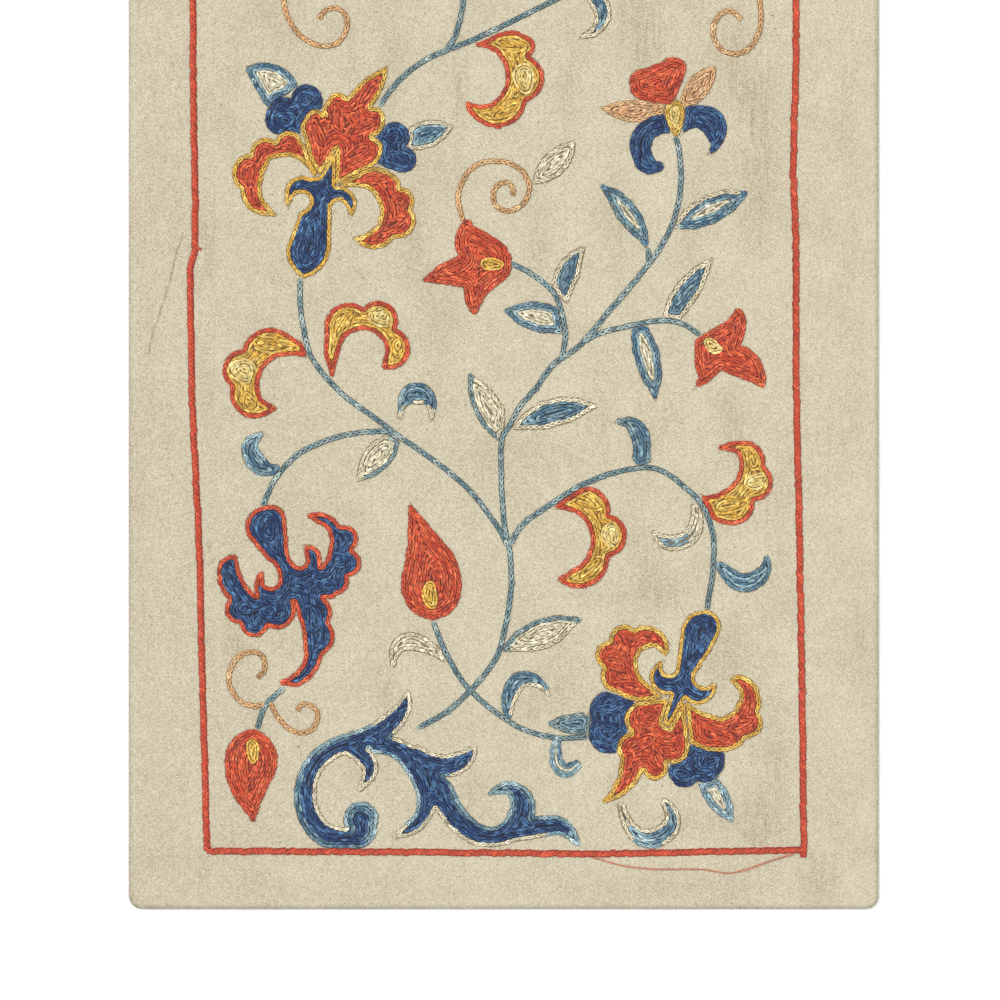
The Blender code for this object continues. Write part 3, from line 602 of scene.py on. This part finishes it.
def fillRows(loops, rows, zones=(), spots=(), onlyKind=None, height=1.0, edgeKind="edge"):
    # rows of loops one inside another; the colour goes by the row's number, a zone
    # changes it within a circle, and a spot is an ellipse stitched on its own
    batches = []

    def sew(line, kind, number):
        silk = rows[min(number, len(rows) - 1)]
        batch = stitchesAlong(line, kind, silk, height)
        for zone in zones:
            if zone.rows[0] <= number <= zone.rows[1]:
                centre = batch.middle.mean(axis=1)
                near = np.hypot(centre[:, 0] - zone.x, centre[:, 1] - zone.y) < zone.radius
                batch.colour[near] = silkTones(zone.colour, int(near.sum()))
                batch.bed[near] = bedShadeTones(zone.colour, int(near.sum()))
        for spot in spots:
            if number > 1 or spot.kind == "spot":
                batch = only(batch, ~inside(batch.middle.mean(axis=1), ellipse(spot)))
        batches.append(batch)

    inset = rowLook["start"]
    for number in range(rowLook["most"]):
        kind = onlyKind or (edgeKind if number == 0 else "fill")
        width = kinds[kind]["width"]
        which = min(number, 1)
        lines = insetLines(loops, inset + 0.5 * width, rowLook["toTip"][which])
        inset += width * rowLook["takes"][which]
        if not lines:
            break
        for line in lines:
            sew(smoothed(line), kind, number)
    if not batches:
        middle = loops[0].mean(axis=0)
        sew(np.stack([middle, middle + 1.0]), "fill", 1)
    if onlyKind:
        return batches
    # a whorl stays within the edge row and the first row inside it
    within = kinds[edgeKind]["width"] + 0.8 * kinds["fill"]["width"]
    for spot in spots:
        for batch in fillRows([ellipse(spot)], [spot.colour], onlyKind=spot.kind, height=spot.height):
            middle = batch.middle.mean(axis=1)
            kept = inside(middle, loops[0]) & (clearOf(middle, loops) > within)
            batches.append(only(batch, kept) if spot.kind == "fill" else batch)
    for line in gapStitches(loops, batches):
        batches.append(stitchesAlong(line, "fill", rows[min(1, len(rows) - 1)], height))
    return batches


# The drawn line: sizes in pixels, its lift in metres, and how much of it shows
inkLook = {"width": 0.75, "out": 0.55, "outSpread": 0.35, "lift": 0.00006, "every": 6.0,
           "dash": 3.0, "dashSpread": 3.5, "points": 6, "tone": (134, 116, 84),
           "shares": {"cream": 0.85}, "share": 0.45}


def inkLines(node, rows):
    # the drawn line that shows just outside the stitches: flat dashes, each a ribbon
    # of two sides carried along its stretch of the outline
    strips = []
    share = inkLook["shares"].get(rows[0], inkLook["share"])
    for loop in nodeLoops(node):
        closed = np.vstack([loop, loop[:1]])
        away = lengthsAlong(closed)
        dashes = max(2, int(away[-1] / inkLook["every"]))
        starts = (np.arange(dashes) + 0.5 * rng.random(dashes)) * away[-1] / dashes
        ends = starts + (inkLook["dash"] + inkLook["dashSpread"] * rng.random(dashes))
        picked = rng.random(dashes) < share
        on = np.linspace(0, 1, inkLook["points"])
        at = starts[picked, None] + (ends - starts)[picked, None] * on
        middle = placesAt(np.clip(at, 0, away[-1]), away, closed)
        across = leftOf(unit(np.gradient(middle, axis=1))) * -inwardSign(loop, False)
        out = (inkLook["out"] + inkLook["outSpread"] * rng.random((len(at), 1)))[..., None]
        strips.append(np.stack([middle + across * (out + side * inkLook["width"])
                                for side in (-0.5, 0.5)], axis=2))
    points = aboveCloth(np.concatenate(strips), inkLook["lift"]).reshape(-1, 3)
    quads = gridQuads(np.arange(len(points)).reshape(-1, inkLook["points"], 2))
    return points, facingUp(points, quads), np.broadcast_to(linear(inkLook["tone"]), points.shape)


def padPoints(node, silk):
    # the solid's own outline, drawn in a little and laid just over the cloth: a sheet in
    # painted shade, dark like the silk in shadow, that shows where the loops part. Points
    # inside it, on a grid, let it follow the cloth's swells, which would come through long flat triangles
    loops, sides, first = [], [], 0
    for loop in nodeLoops(node):
        normal = leftOf(unit(np.roll(loop, -1, axis=0) - loop)) * inwardSign(loop, bool(loops))
        bisector = normal + np.roll(normal, 1, axis=0)
        bisector /= np.maximum((bisector ** 2).sum(axis=1, keepdims=True) * 0.5, 0.3)
        loops.append(loop + bisector * stitchLook["padInset"])
        number = first + np.arange(len(loop))
        sides.append(np.stack([number, np.roll(number, -1)], axis=-1))
        first += len(loop)
    flat = np.concatenate(loops)
    grid = gridOver(flat, stitchLook["padStep"])
    places = np.vstack([flat, grid[clearOf(grid, loops) > 1.0]])
    found = delaunay_2d_cdt([Vector(place) for place in places.tolist()],
                            np.concatenate(sides).tolist(), [], 0, 0.0001)
    flat, faces = np.array([tuple(corner) for corner in found[0]]), np.array(found[2])
    middle = flat[faces].mean(axis=1)
    faces = faces[np.sum([inside(middle, loop) for loop in loops], axis=0) % 2 == 1]
    points = aboveCloth(flat, stitchLook["padLift"])
    paintedShade = linear(silks[silk][0]) * stitchLook["padShadeTone"]
    return points, facingUp(points, faces), np.broadcast_to(paintedShade, points.shape)


def newMaterial(name, values):
    # a Principled material, with these values on its shader
    material = bpy.data.materials.new(name)
    material.use_nodes = True
    shader = material.node_tree.nodes["Principled BSDF"]
    setInputs(material, shader, values)
    return material, shader


def setInputs(material, node, values):
    # an output of another node is linked to the input, anything else is its own value
    for name, value in values.items():
        if isinstance(value, bpy.types.NodeSocket):
            material.node_tree.links.new(value, node.inputs[name])
        else:
            node.inputs[name].default_value = value


def addNode(material, kind, values, output=0, **settings):
    # a new node: its settings, then its inputs; gives back one of its outputs
    node = material.node_tree.nodes.new(kind)
    for name, value in settings.items():
        setattr(node, name, value)
    setInputs(material, node, values)
    return node.outputs[output]


def addRange(material, value, low, high, outLow=0.0, outHigh=1.0):
    # low to high becomes outLow to outHigh, and what lies past them stops there
    return addNode(material, "ShaderNodeMapRange", {
        "Value": value, "From Min": low, "From Max": high, "To Min": outLow, "To Max": outHigh})


def threadMaterial(name, steadyColour=None):
    # the colour kept at each point, or one for the whole thread, times fine flecks
    material, shader = newMaterial(name, {
        "Roughness": 0.46, "Sheen Weight": 0.25, "Specular IOR Level": 0.42})
    place = addNode(material, "ShaderNodeTexCoord", {}, "Object")
    fleck = addNode(material, "ShaderNodeTexNoise", {"Vector": place, "Scale": 900.0, "Detail": 2.0})
    colour = steadyColour or addNode(material, "ShaderNodeAttribute", {}, attribute_name="silkColour")
    tone = addNode(material, "ShaderNodeVectorMath", {
        0: colour, "Scale": addRange(material, fleck, 0.3, 0.7, 0.72, 1.30)}, operation="SCALE")
    bump = addNode(material, "ShaderNodeBump", {"Height": fleck, "Strength": 0.25, "Distance": 0.00008})
    setInputs(material, shader, {"Base Color": tone, "Normal": bump})
    return material


silkMaterials = {}


def sewPiece(name, batches, node, slotName, rows=()):
    # the mats and loops of one motif as one mesh, with a colour at each point; one
    # that is sewn in rows also has its pad and its drawn line
    sewn = stack(batches)
    points, quads, colours = strandMesh(sewn)
    mats, matQuads, matColours = matMesh(sewn)
    faces = inTriangles(np.concatenate([quads, matQuads + len(points)]))
    points, colours = np.concatenate([points, mats]), np.concatenate([colours, matColours])
    if rows:
        pad, padFaces, padColours = padPoints(node, rows[-1])
        ink, inkQuads, inkColours = inkLines(node, rows)
        faces = np.concatenate([faces, padFaces + len(points),
                                inTriangles(inkQuads + len(points) + len(pad))])
        points = np.concatenate([points, pad, ink])
        colours = np.concatenate([colours, padColours, inkColours])
    piece = putMesh(name, points, faces)
    paint = piece.data.color_attributes.new("silkColour", "FLOAT_COLOR", "POINT")
    rgba = np.column_stack([colours, np.ones(len(colours))]).astype(np.float32)
    paint.data.foreach_set("color", rgba.ravel())
    if slotName not in silkMaterials:
        silkMaterials[slotName] = threadMaterial(slotName.replace("_", " ") + " thread")
    piece.data.materials.append(silkMaterials[slotName])
    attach(piece, "root")
    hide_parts(node)
    return len(faces)


everyRow = (0, 99)
edgeRow = (0, 0)
secondRow = (1, 1)
innerRows = (1, 99)

Motif = namedtuple("Motif", "slot rows zones spots")


def motif(slotSilk, rows, zones=(), spots=()):
    # the material slot, the row colours from the edge inwards (the last one goes on),
    # the zones, of which later ones go over earlier ones, and the spots
    return Motif(slotSilk + "_silk", rows.split(), zones, spots)


def whorls(silk, *rows):
    # spots in the row's own silk, which lobes are filled with
    return [Spot(silk, *row, kind="fill", height=1.0) for row in rows]


def patches(silk, rows, *circles):
    # zones of one silk, each a place and a radius
    return [Zone(silk, *circle, rows) for circle in circles]


def beyond(silk, x, y, towards, rows=edgeRow):
    # a zone that takes in all that lies past a place, in a direction in degrees from
    # right to down: a circle so wide that its edge is straight
    angle = math.radians(towards)
    return patches(silk, rows, (x + 500 * math.cos(angle), y + 500 * math.sin(angle), 500))


def coralPetal(*rows):
    return motif("coral", "yellow coral", (), whorls("coral", *rows))


def navyLobes(*rows):
    return motif("navy", "navy", (), whorls("navy", *rows))


def crescent(firstEnd, secondEnd, middle):
    # two whorls of yellow at the ends, and a paler one between them
    return motif("yellow", "coral yellow", (),
                 whorls("yellow", firstEnd, secondEnd) + whorls("paleYellow", middle))


def coralBud(silk, *spot):
    return motif("coral", "coral", (), [Spot(silk, *spot)])


scrollZones = (
    patches("paleBlue", edgeRow, (350, 741, 34), (300, 758, 18), (405, 786, 34))
    + patches("cream", edgeRow, (413, 714, 21), (388, 718, 16), (445, 716, 41), (408, 735, 14),
              (474, 750, 9), (420, 748, 6), (536, 837, 7), (467, 776, 15), (342, 792, 40), (362, 772, 22))
    + patches("paleBlue", edgeRow, (366, 820, 21), (417, 822, 12))
    + patches("cream", edgeRow, (399, 835, 12), (426, 828, 13), (437, 816, 9), (452, 838, 22),
              (487, 849, 16), (520, 847, 18), (549, 846, 15))
    + patches("paleBlue", edgeRow, (469, 799, 22), (513, 799, 26), (560, 820, 19))
    + patches("paleBlue", everyRow, (574, 836, 9))
    + patches("blue", secondRow, (262, 790, 46), (318, 722, 34), (300, 850, 32))
    + patches("blue", (1, 2), (366, 820, 22))
    + patches("blue", secondRow, (513, 799, 26), (469, 799, 22)))
# Places and sizes in pixels; a whorl's or spot's are its middle, half length, half
# width and turn in degrees
motifLook = {
    "calyx_a": motif("navy", "yellow navy"),
    "centre_petal_a": coralPetal((368, 93, 19, 6, -54), (337, 118, 17, 7, 82), (364, 128, 17, 6, -24),
                                 (357, 153, 17, 7, -30), (318, 135, 17, 6, 72)),
    "left_petal_a": coralPetal((290, 152, 14, 5, 28), (251, 176, 15, 5, 104)),
    "right_petal_a": coralPetal((374, 179, 20, 5, 2), (393, 224, 16, 6, 150)),
    "left_lobes_a": navyLobes((306, 98, 14, 13, 40), (286, 120, 14, 12, 0)),
    "right_lobes_a": navyLobes((394, 136, 12, 10, 0), (398, 158, 14, 9, 30)),
    "calyx_c": motif("navy", "yellow navy"),
    "centre_petal_c": coralPetal((648, 716, 15, 13, 0), (676, 724, 17, 8, 74), (640, 744, 18, 7, -28),
                                 (658, 757, 18, 7, 66), (622, 782, 20, 6, -55)),
    "left_petal_c": coralPetal((623, 641, 16, 6, 52), (615, 663, 15, 7, 25), (626, 687, 18, 7, 4)),
    "right_petal_c": coralPetal((742, 724, 14, 7, -24), (722, 736, 17, 6, 18)),
    "left_lobes_c": navyLobes((608, 703, 18, 14, -20), (607, 733, 18, 14, 20)),
    "right_lobes_c": navyLobes((683, 774, 14, 11, 20), (709, 760, 14, 12, -30)),
    "palmette_b": motif("navy", "coral navy", (), whorls(
        "navy", (267, 528, 16, 11, 80), (335, 535, 10, 6, 60), (338, 560, 11, 8, 10), (328, 585, 9, 7, 0),
        (314, 618, 14, 8, 90), (231, 577, 14, 6, 70), (245, 608, 10, 7, 0), (268, 612, 9, 7, 0))),
    "tulip_left": coralBud("yellow", 492, 264, 12, 6.5, 0),
    "tulip_right": coralBud("paleYellow", 713, 346, 10.5, 6.5, 32),
    "iris_cap": motif("coral", "coral"),
    "iris_drop": motif("yellow", "yellow paleYellow"),
    "bud_centre": coralBud("yellow", 430, 595, 15, 7.5, 84),
    "bud_left": coralBud("yellow", 253, 751, 13, 6.5, 88),
    "scroll": motif("navy", "blue navy", scrollZones),
    "iris_left_hook": motif("navy", "navy"),
    "iris_right_hook": motif("navy", "navy"),
    "crescent_top": crescent((505, 44, 19, 8, 14), (507, 110, 17, 7, -26), (524, 78, 15, 11, 90)),
    "crescent_left": crescent((272, 345, 25, 8, 6), (249, 401, 13, 9, 60), (243, 371, 14, 13, 0)),
    "crescent_inner": crescent((347, 324, 23, 8, -58), (398, 346, 11, 9, 90), (382, 316, 13, 12, 0)),
    "crescent_low": crescent((585, 501, 20, 8, 20), (590, 568, 17, 7, -42), (612, 536, 14, 11, 80)),
    "crescent_right": crescent((753, 458, 14, 7, 74), (730, 505, 18, 9, -8), (757, 481, 14, 8, -18)),
    "iris_left_leaf": motif("pink", "peach pink"),
    "iris_right_leaf": motif("pink", "peach pink"),
    "leaf_bud_a_left": motif("blue", "blue paleBlue cream"),
    "leaf_bud_a_right": motif("cream", "cream paleBlue blue"),
    "leaf_bud_c_right": motif("blue", "paleBlue paleBlue cream"),
    "leaf_bud_c_left": motif("blue", "stemBlue paleBlue blue"),
    "leaf_cream": motif("cream", "cream"),
    "leaf_over_stem": motif("cream", "cream blue"),
    "leaf_on_branch": motif("blue", "blue paleBlue cream"),
    "leaf_high": motif("blue", "blue paleBlue cream", beyond("stemBlue", 624, 220, 146)),
    "leaf_high_right": motif("blue", "blue blue paleBlue cream", beyond("cream", 711, 209, 242)),
    "leaf_upright": motif("cream", "cream blue"),
    "leaf_hanging": motif("blue", "blue paleBlue cream"),
    "leaf_pair_left": motif("cream", "cream", beyond("stemBlue", 486, 407, 158)),
    "leaf_pair_right": motif("blue", "cream blue", patches("paleBlue", innerRows, (520, 421, 12))),
    "leaf_low_left": motif("cream", "cream", beyond("stemBlue", 376, 459, 33)),
    "leaf_low_right": motif("blue", "stemBlue cream", beyond("cream", 543, 634, 68)),
    "curl_left": motif("blue", "paleBlue blue", beyond("blue", 262, 470, 10, everyRow)),
    "curl_inner": motif("blue", "blue", patches("paleBlue", edgeRow, (402, 394, 9))
                        + patches("cream", everyRow, (417, 420, 18.5))),
    "curl_arch": motif("blue", "blue", patches("stemBlue", everyRow, (622, 424, 9))),
    "curl_under_arch": motif("cream", "cream", patches("paleBlue", innerRows, (674, 543, 14))),
    "curl_right": motif("blue", "blue paleBlue blue"),
    "curl_low": motif("blue", "blue", patches("paleBlue", everyRow, (547, 691, 13))
                      + patches("cream", edgeRow, (530, 706, 23))),
    "curl_bud_stem": motif("cream", "cream"),
    "curl_foot": motif("blue", "cream blue", patches("paleBlue", edgeRow, (645, 852, 17))
                       + patches("paleBlue", innerRows, (638, 838, 15))
                       + patches("cream", everyRow, (620, 812, 16))),
    "curl_top": motif("cream", "cream blue"),
}
thinEdged = ("scroll", "calyx_a", "calyx_c", "curl_inner", "curl_low", "curl_right", "curl_foot",
             "curl_under_arch", "curl_top", "curl_left", "curl_arch", "curl_bud_stem",
             "leaf_low_left", "leaf_bud_a_right")

# Stems, tendrils and the border: the places their middle lines pass through
stemLines = {
    "stem_main": [
        [(300, 279), (300, 300), (303, 325), (312, 358), (340, 392), (375, 418), (400, 437),
         (440, 465), (470, 491), (495, 523), (508, 546)],
        [(398, 437), (385, 431.5), (370, 432), (350, 434), (325, 441), (297, 455), (276, 478),
         (266, 498), (263, 505)],
        [(418, 728), (445, 713), (470, 691), (495, 660), (505, 628), (511, 589), (510, 554),
         (504, 520), (501, 470), (502, 440), (510, 425), (521, 405), (536, 388), (553, 365), (580, 345),
         (610, 310), (640, 275), (662, 245), (676, 213), (681, 180), (679, 150), (676, 138)],
        [(583, 342), (600, 333), (620, 328), (655, 321), (680, 323), (699, 334)],
        [(562, 358), (565, 330), (555, 295), (533, 275), (512, 264)],
        [(510, 545), (523, 524), (547, 507), (566, 494), (584, 484), (610, 474), (638, 468), (660, 470),
         (681, 484), (702, 505), (713, 535), (713, 570), (707, 609)],
        [(433, 621), (446, 653), (468, 688), (505, 719), (530, 732), (558, 738), (587, 737)],
        [(648, 248), (649, 262)],
    ],
    "stem_top": [
        [(380, 106), (390, 91), (405, 75), (425, 60), (447, 50), (470, 41), (500, 27), (555, 0),
         (600, -22), (650, -42), (700, -50), (740, -37)],
        [(446, 50), (455, 36), (461, 15), (463, 0), (460, -28), (444, -52), (415, -66), (375, -72),
         (335, -66), (300, -45)],
    ],
    "stem_bud_left": [[(284, 688), (266, 705), (257, 728)]],
}
tendrilLines = {
    "stem_top": [
        [(740, -37), (757, -12), (761, 20), (757, 38), (747, 50), (735, 54), (722, 50), (714, 38),
         (714, 25), (720, 15), (730, 11), (741, 19)],
        [(300, -45), (284, -15), (286, 12), (297, 32), (312, 43), (327, 46), (340, 41), (347, 27),
         (345, 14), (335, 8), (325, 11), (319, 19)],
    ],
    "stem_bud_left": [
        [(264, 704), (252, 706), (240, 701), (231, 689), (229, 676), (234, 662), (243, 654),
         (254, 652), (263, 657), (265, 668), (258, 678)],
        [(270, 702), (277, 716), (288, 728), (301, 733), (313, 728), (318, 716), (313, 707),
         (303, 704), (297, 710)],
    ],
    "tendril_spiral": [
        [(463, 220), (458, 200), (461, 185), (470, 170), (485, 162), (505, 162), (520, 169),
         (528, 180), (529, 192), (522, 205), (508, 211), (497, 207), (493, 195), (497, 186),
         (506, 182), (513, 188), (513, 196)],
    ],
}
smallCurl = [(558, 736, 2.5), (555.5, 752, 5), (558, 765, 7), (566, 771, 6.5), (574, 767, 5), (579, 762, 2.5)]
borderPlaces = [
    (193, -95), (193, 76), (195, 184), (195, 249), (190, 270), (192, 400), (199, 542),
    (203, 701), (207, 851), (400, 852), (600, 854), (804, 850), (802, 676), (799, 510),
    (796, 380), (796, 240), (793, 175), (794, 130), (796, 60), (796, -95), (495, -97), (193, -95)]
borderEnd = (803.8, 857.0)
frayedEnd = [(194.0, 246.5), (201.5, 249.5)]
loosePlaces = [
    (592, 857.6), (602, 860.0), (612, 863.0), (624, 866.0), (640, 868), (656, 869.3), (680, 869.2),
    (702, 869.5), (716, 871.5), (728, 873.2), (743, 870.5), (759, 865), (772, 860.5),
    (784, 856.8), (794, 854.0)]


def curveThrough(places, step=lineStep):
    # Catmull-Rom curve: between two places, the cubic that leaves and arrives
    # parallel to the line between their neighbours
    p = np.asarray(places, float)
    padded = np.vstack([2 * p[0] - p[1], p, 2 * p[-1] - p[-2]])[:, None]
    a, b, c, d = padded[:-3], padded[1:-2], padded[2:-1], padded[3:]
    t = np.linspace(0, 1, 24, endpoint=False)[None, :, None]
    line = 0.5 * (2 * b + (c - a) * t + (2 * a - 5 * b + 4 * c - d) * t ** 2
                  + (3 * b - a - 3 * c + d) * t ** 3)
    line = np.vstack([line.reshape(-1, p.shape[1]), p[-1:]])
    away = lengthsAlong(line[:, :2])
    return placesAt(np.linspace(0, away[-1], max(2, int(away[-1] / step))), away, line)


def straightThrough(places):
    p = np.asarray(places, float)
    away = lengthsAlong(p)
    return placesAt(np.linspace(0, away[-1], int(away[-1] / lineStep)), away, p)


def makeStems():
    # each line is one chain; the small curl is five of them side by side, as wide as
    # the third number of each of its places
    total = 0
    for node in ("stem_main", "stem_top", "stem_bud_left", "tendril_spiral"):
        batches = [stitchesAlong(curveThrough(p), "line", "stemBlue") for p in stemLines.get(node, [])]
        batches += [stitchesAlong(curveThrough(p), "tendril", "tan") for p in tendrilLines.get(node, [])]
        if node == "stem_main":
            curl = curveThrough(smallCurl)
            across = leftOf(unit(np.gradient(curl[:, :2], axis=0)))
            tones = ("blue", "blue", "cream", "paleBlue", "paleBlue")
            for share, tone in zip((-0.84, -0.42, 0.0, 0.42, 0.84), tones):
                batches.append(stitchesAlong(curl[:, :2] + across * curl[:, 2:] * share, "fill", tone))
        slotName = "pink_silk" if node == "tendril_spiral" else "stem_silk"
        total += sewPiece(node.replace("_", "") + "Stitches", batches, node, slotName)
    return total


def makeBorder():
    # the left side, the foot, the right side and the hidden top, each its own chain,
    # and a frayed end that stands out of the left side
    sides = (borderPlaces[:9], borderPlaces[8:12], [borderEnd] + borderPlaces[12:20], borderPlaces[19:])
    batches = [stitchesAlong(straightThrough(places), "border", "borderCoral") for places in sides]
    batches.append(stitchesAlong(np.array(frayedEnd), "fill", "borderCoral"))
    return sewPiece("borderStitches", batches, "border_line", "coral_silk")


def makeMotifs():
    total = 0
    for node, look in motifLook.items():
        edgeKind = "thinEdge" if node in thinEdged else "edge"
        batches = fillRows(nodeLoops(node), look.rows, look.zones, look.spots, edgeKind=edgeKind)
        total += sewPiece(node + "Stitches", batches, node, look.slot, look.rows)
    return total


# The cloth's layers of colour, from the lowest up: each one's colour, and the least
# and the most of it that shows
weaveLook = {
    "base": (196, 188, 162),
    "mottle": ((210, 201, 175), 0.0, 1.0),
    "soft": ((168, 142, 104), 0.0, 0.34),
    "streaks": ((150, 122, 84), 0.08, 0.74),
    "ribs": ((138, 112, 78), 0.0, 0.40),
    "leftSideShade": ((150, 140, 118), 0.14, 0.0),
    "fibres": ((150, 132, 100), 0.0, 0.16),
    "twill": ((142, 130, 104), 0.0, 0.56),
    "grain": ((240, 232, 210), 0.0, 0.42),
    "gaps": ((132, 116, 88), 0.0, 0.50),
    "specks": ((100, 82, 62), 0.0, 0.70),
    "twillSpacing": 0.00082, "twillTurn": 34, "ribSpacing": 0.00092,
}


def clothMaterial():
    material, shader = newMaterial("hand woven ground", {"Roughness": 0.92, "Specular IOR Level": 0.18})
    place = addNode(material, "ShaderNodeTexCoord", {}, "Object")

    def placed(turn, stretch=(1, 1, 1)):
        return addNode(material, "ShaderNodeMapping", {
            "Vector": place, "Rotation": (0, 0, turn), "Scale": stretch})

    def noise(scale, detail, stretch=(1, 1, 1), turn=0.0):
        return addNode(material, "ShaderNodeTexNoise", {
            "Vector": placed(turn, stretch), "Scale": scale, "Detail": detail})

    def wave(spacing, direction, turn, distortion):
        # bands a spacing apart: the texture's own band is 0.314 over its scale
        return addNode(material, "ShaderNodeTexWave", {
            "Vector": placed(math.radians(turn)), "Scale": 0.314 / spacing, "Distortion": distortion,
            "Detail": 1.0, "Detail Scale": 2.0}, "Fac", wave_type="BANDS", bands_direction=direction)

    def times(a, b):
        return addNode(material, "ShaderNodeMath", {0: a, 1: b}, operation="MULTIPLY")

    def layer(name, under, value, low, high, within=None):
        # the layer's colour over the one under it, by how far the value is from low
        # to high, times within; 6, 7 and 2 are the Mix node's colour sockets
        colour, least, most = weaveLook[name]
        share = addRange(material, value, low, high, least, most)
        return addNode(material, "ShaderNodeMix", {
            "Factor": times(within, share) if within else share, 6: under,
            7: (*linear(colour), 1.0)}, 2, data_type="RGBA")

    brownedAndCreaseShaded = addNode(material, "ShaderNodeAttribute", {}, "Fac", attribute_name="stainAndCreaseShade")
    sideways = addNode(material, "ShaderNodeSeparateXYZ", {0: place}, "X")
    # mottled; brown where the stain is and painted shade along the creases, in
    # streaks and fine cross ribs
    colour = layer("mottle", (*linear(weaveLook["base"]), 1.0), noise(55, 4), 0.35, 0.68)
    soft = times(addRange(material, noise(26, 5, (1.0, 0.45, 1)), 0.50, 0.72),
                 addRange(material, noise(420, 2, (1.6, 0.25, 1)), 0.35, 0.65))
    colour = layer("soft", colour, soft, 0.0, 1.0)
    colour = layer("streaks", colour, noise(640, 3, (1.9, 0.10, 1)), 0.38, 0.64, brownedAndCreaseShaded)
    colour = layer("ribs", colour, wave(weaveLook["ribSpacing"], "Y", 0, 1.6), 0.3, 0.9, brownedAndCreaseShaded)
    # painted shade: the cloth is darker towards its left side
    colour = layer("leftSideShade", colour, sideways, -0.15, 0.06)
    colour = layer("fibres", colour, noise(900, 2, (2.2, 0.10, 1)), 0.36, 0.66)
    # the twill: fine lines that rise steeply to the right, broken by the yarns
    twill = wave(weaveLook["twillSpacing"], "X", weaveLook["twillTurn"], 0.45)
    colour = layer("twill", colour, twill, 0.15, 0.9)
    colour = layer("grain", colour, noise(1500, 2), 0.34, 0.68)
    colour = layer("gaps", colour, noise(1250, 2, (1.0, 1.6, 1), 0.5), 0.53, 0.72)
    colour = layer("specks", colour, noise(560, 1), 0.79, 0.81)
    bump = addNode(material, "ShaderNodeBump", {"Height": twill, "Strength": 0.7, "Distance": 0.00016})
    setInputs(material, shader, {"Base Color": colour, "Normal": bump})
    return material


# Radius and lift of its middle over the cloth in metres, and the step in pixels
threadLook = {"radius": 0.00022, "lift": 0.00045, "step": 3.0, "colour": (196, 96, 70)}


def makeLooseThread():
    # a round tube on the route's own points, at the cloth's height under each
    points = aboveCloth(curveThrough(loosePlaces, threadLook["step"]), threadLook["lift"])
    curve = bpy.data.curves.new("looseThread", "CURVE")
    curve.dimensions = "3D"
    curve.bevel_depth = threadLook["radius"]
    curve.bevel_resolution = 2
    curve.use_fill_caps = True
    spline = curve.splines.new("POLY")
    spline.points.add(len(points) - 1)
    spline.points.foreach_set("co", np.column_stack([points, np.ones(len(points))]).ravel())
    thread = bpy.data.objects.new("looseThread", curve)
    bpy.context.scene.collection.objects.link(thread)
    curve.materials.append(threadMaterial("loose coral thread", tuple(linear(threadLook["colour"]))))
    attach(thread, "root")
    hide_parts("loose_thread")
    length = float(lengthsAlong(points)[-1])
    return length


# Metres and watts, and colours as light from 0 to 1; the picture is 1000 pixels of
# the photograph wide
studioLook = {
    "floorHalf": 4.0, "floorColour": (0.93, 0.935, 0.94, 1),
    "sky": (0.97, 0.985, 1.0, 1), "skyStrength": 0.62,
    # each light: place, size, power
    "lights": {"softKey": ((-1.9, 1.5, 2.6), 1.6, 82.0), "softFill": ((1.2, -0.7, 1.7), 1.6, 18.0)},
    "lens": 270.0, "sensor": 36.0, "middlePx": (500.0, 500.0), "widthPx": 1000, "sheetTop": 0.0015,
}


def makeStudio():
    half = studioLook["floorHalf"]
    corners = np.array([(-half, -half, 0), (half, -half, 0), (half, half, 0), (-half, half, 0)])
    floor = putMesh("studioFloor", corners, np.array([[0, 1, 2, 3]]), smooth=False)
    pale = {"Base Color": studioLook["floorColour"], "Roughness": 0.9}
    floor.data.materials.append(newMaterial("studio floor", pale)[0])
    world = bpy.data.worlds.new("studio")
    world.use_nodes = True
    sky = world.node_tree.nodes["Background"].inputs
    sky["Color"].default_value = studioLook["sky"]
    sky["Strength"].default_value = studioLook["skyStrength"]
    bpy.context.scene.world = world
    for name, (where, size, power) in studioLook["lights"].items():
        light = bpy.data.lights.new(name, "AREA")
        light.size = size
        light.energy = power
        lamp = bpy.data.objects.new(name, light)
        lamp.location = where
        lamp.rotation_euler = (-Vector(where)).to_track_quat("-Z", "Y").to_euler()
        bpy.context.scene.collection.objects.link(lamp)
    bpy.context.scene.view_settings.view_transform = "Standard"
    camera = bpy.data.cameras.new("camera")
    camera.sensor_width = studioLook["sensor"]
    camera.lens = studioLook["lens"]
    view = bpy.data.objects.new("camera", camera)
    away = studioLook["lens"] / studioLook["sensor"] * studioLook["widthPx"] * pixel
    view.location = (*onCloth(studioLook["middlePx"]), away + studioLook["sheetTop"])
    bpy.context.scene.collection.objects.link(view)
    bpy.context.scene.camera = view


ground = makeGround()
ground.data.materials.append(clothMaterial())
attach(ground, "root")
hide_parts("ground_cloth")
print("ground cloth:", len(ground.data.polygons), "faces")
print("motifs:", makeMotifs(), "triangles")
print("stems:", makeStems(), "triangles")
print("border:", makeBorder(), "triangles")
print("loose thread:", round(makeLooseThread() * 1000, 1), "mm")
makeStudio()
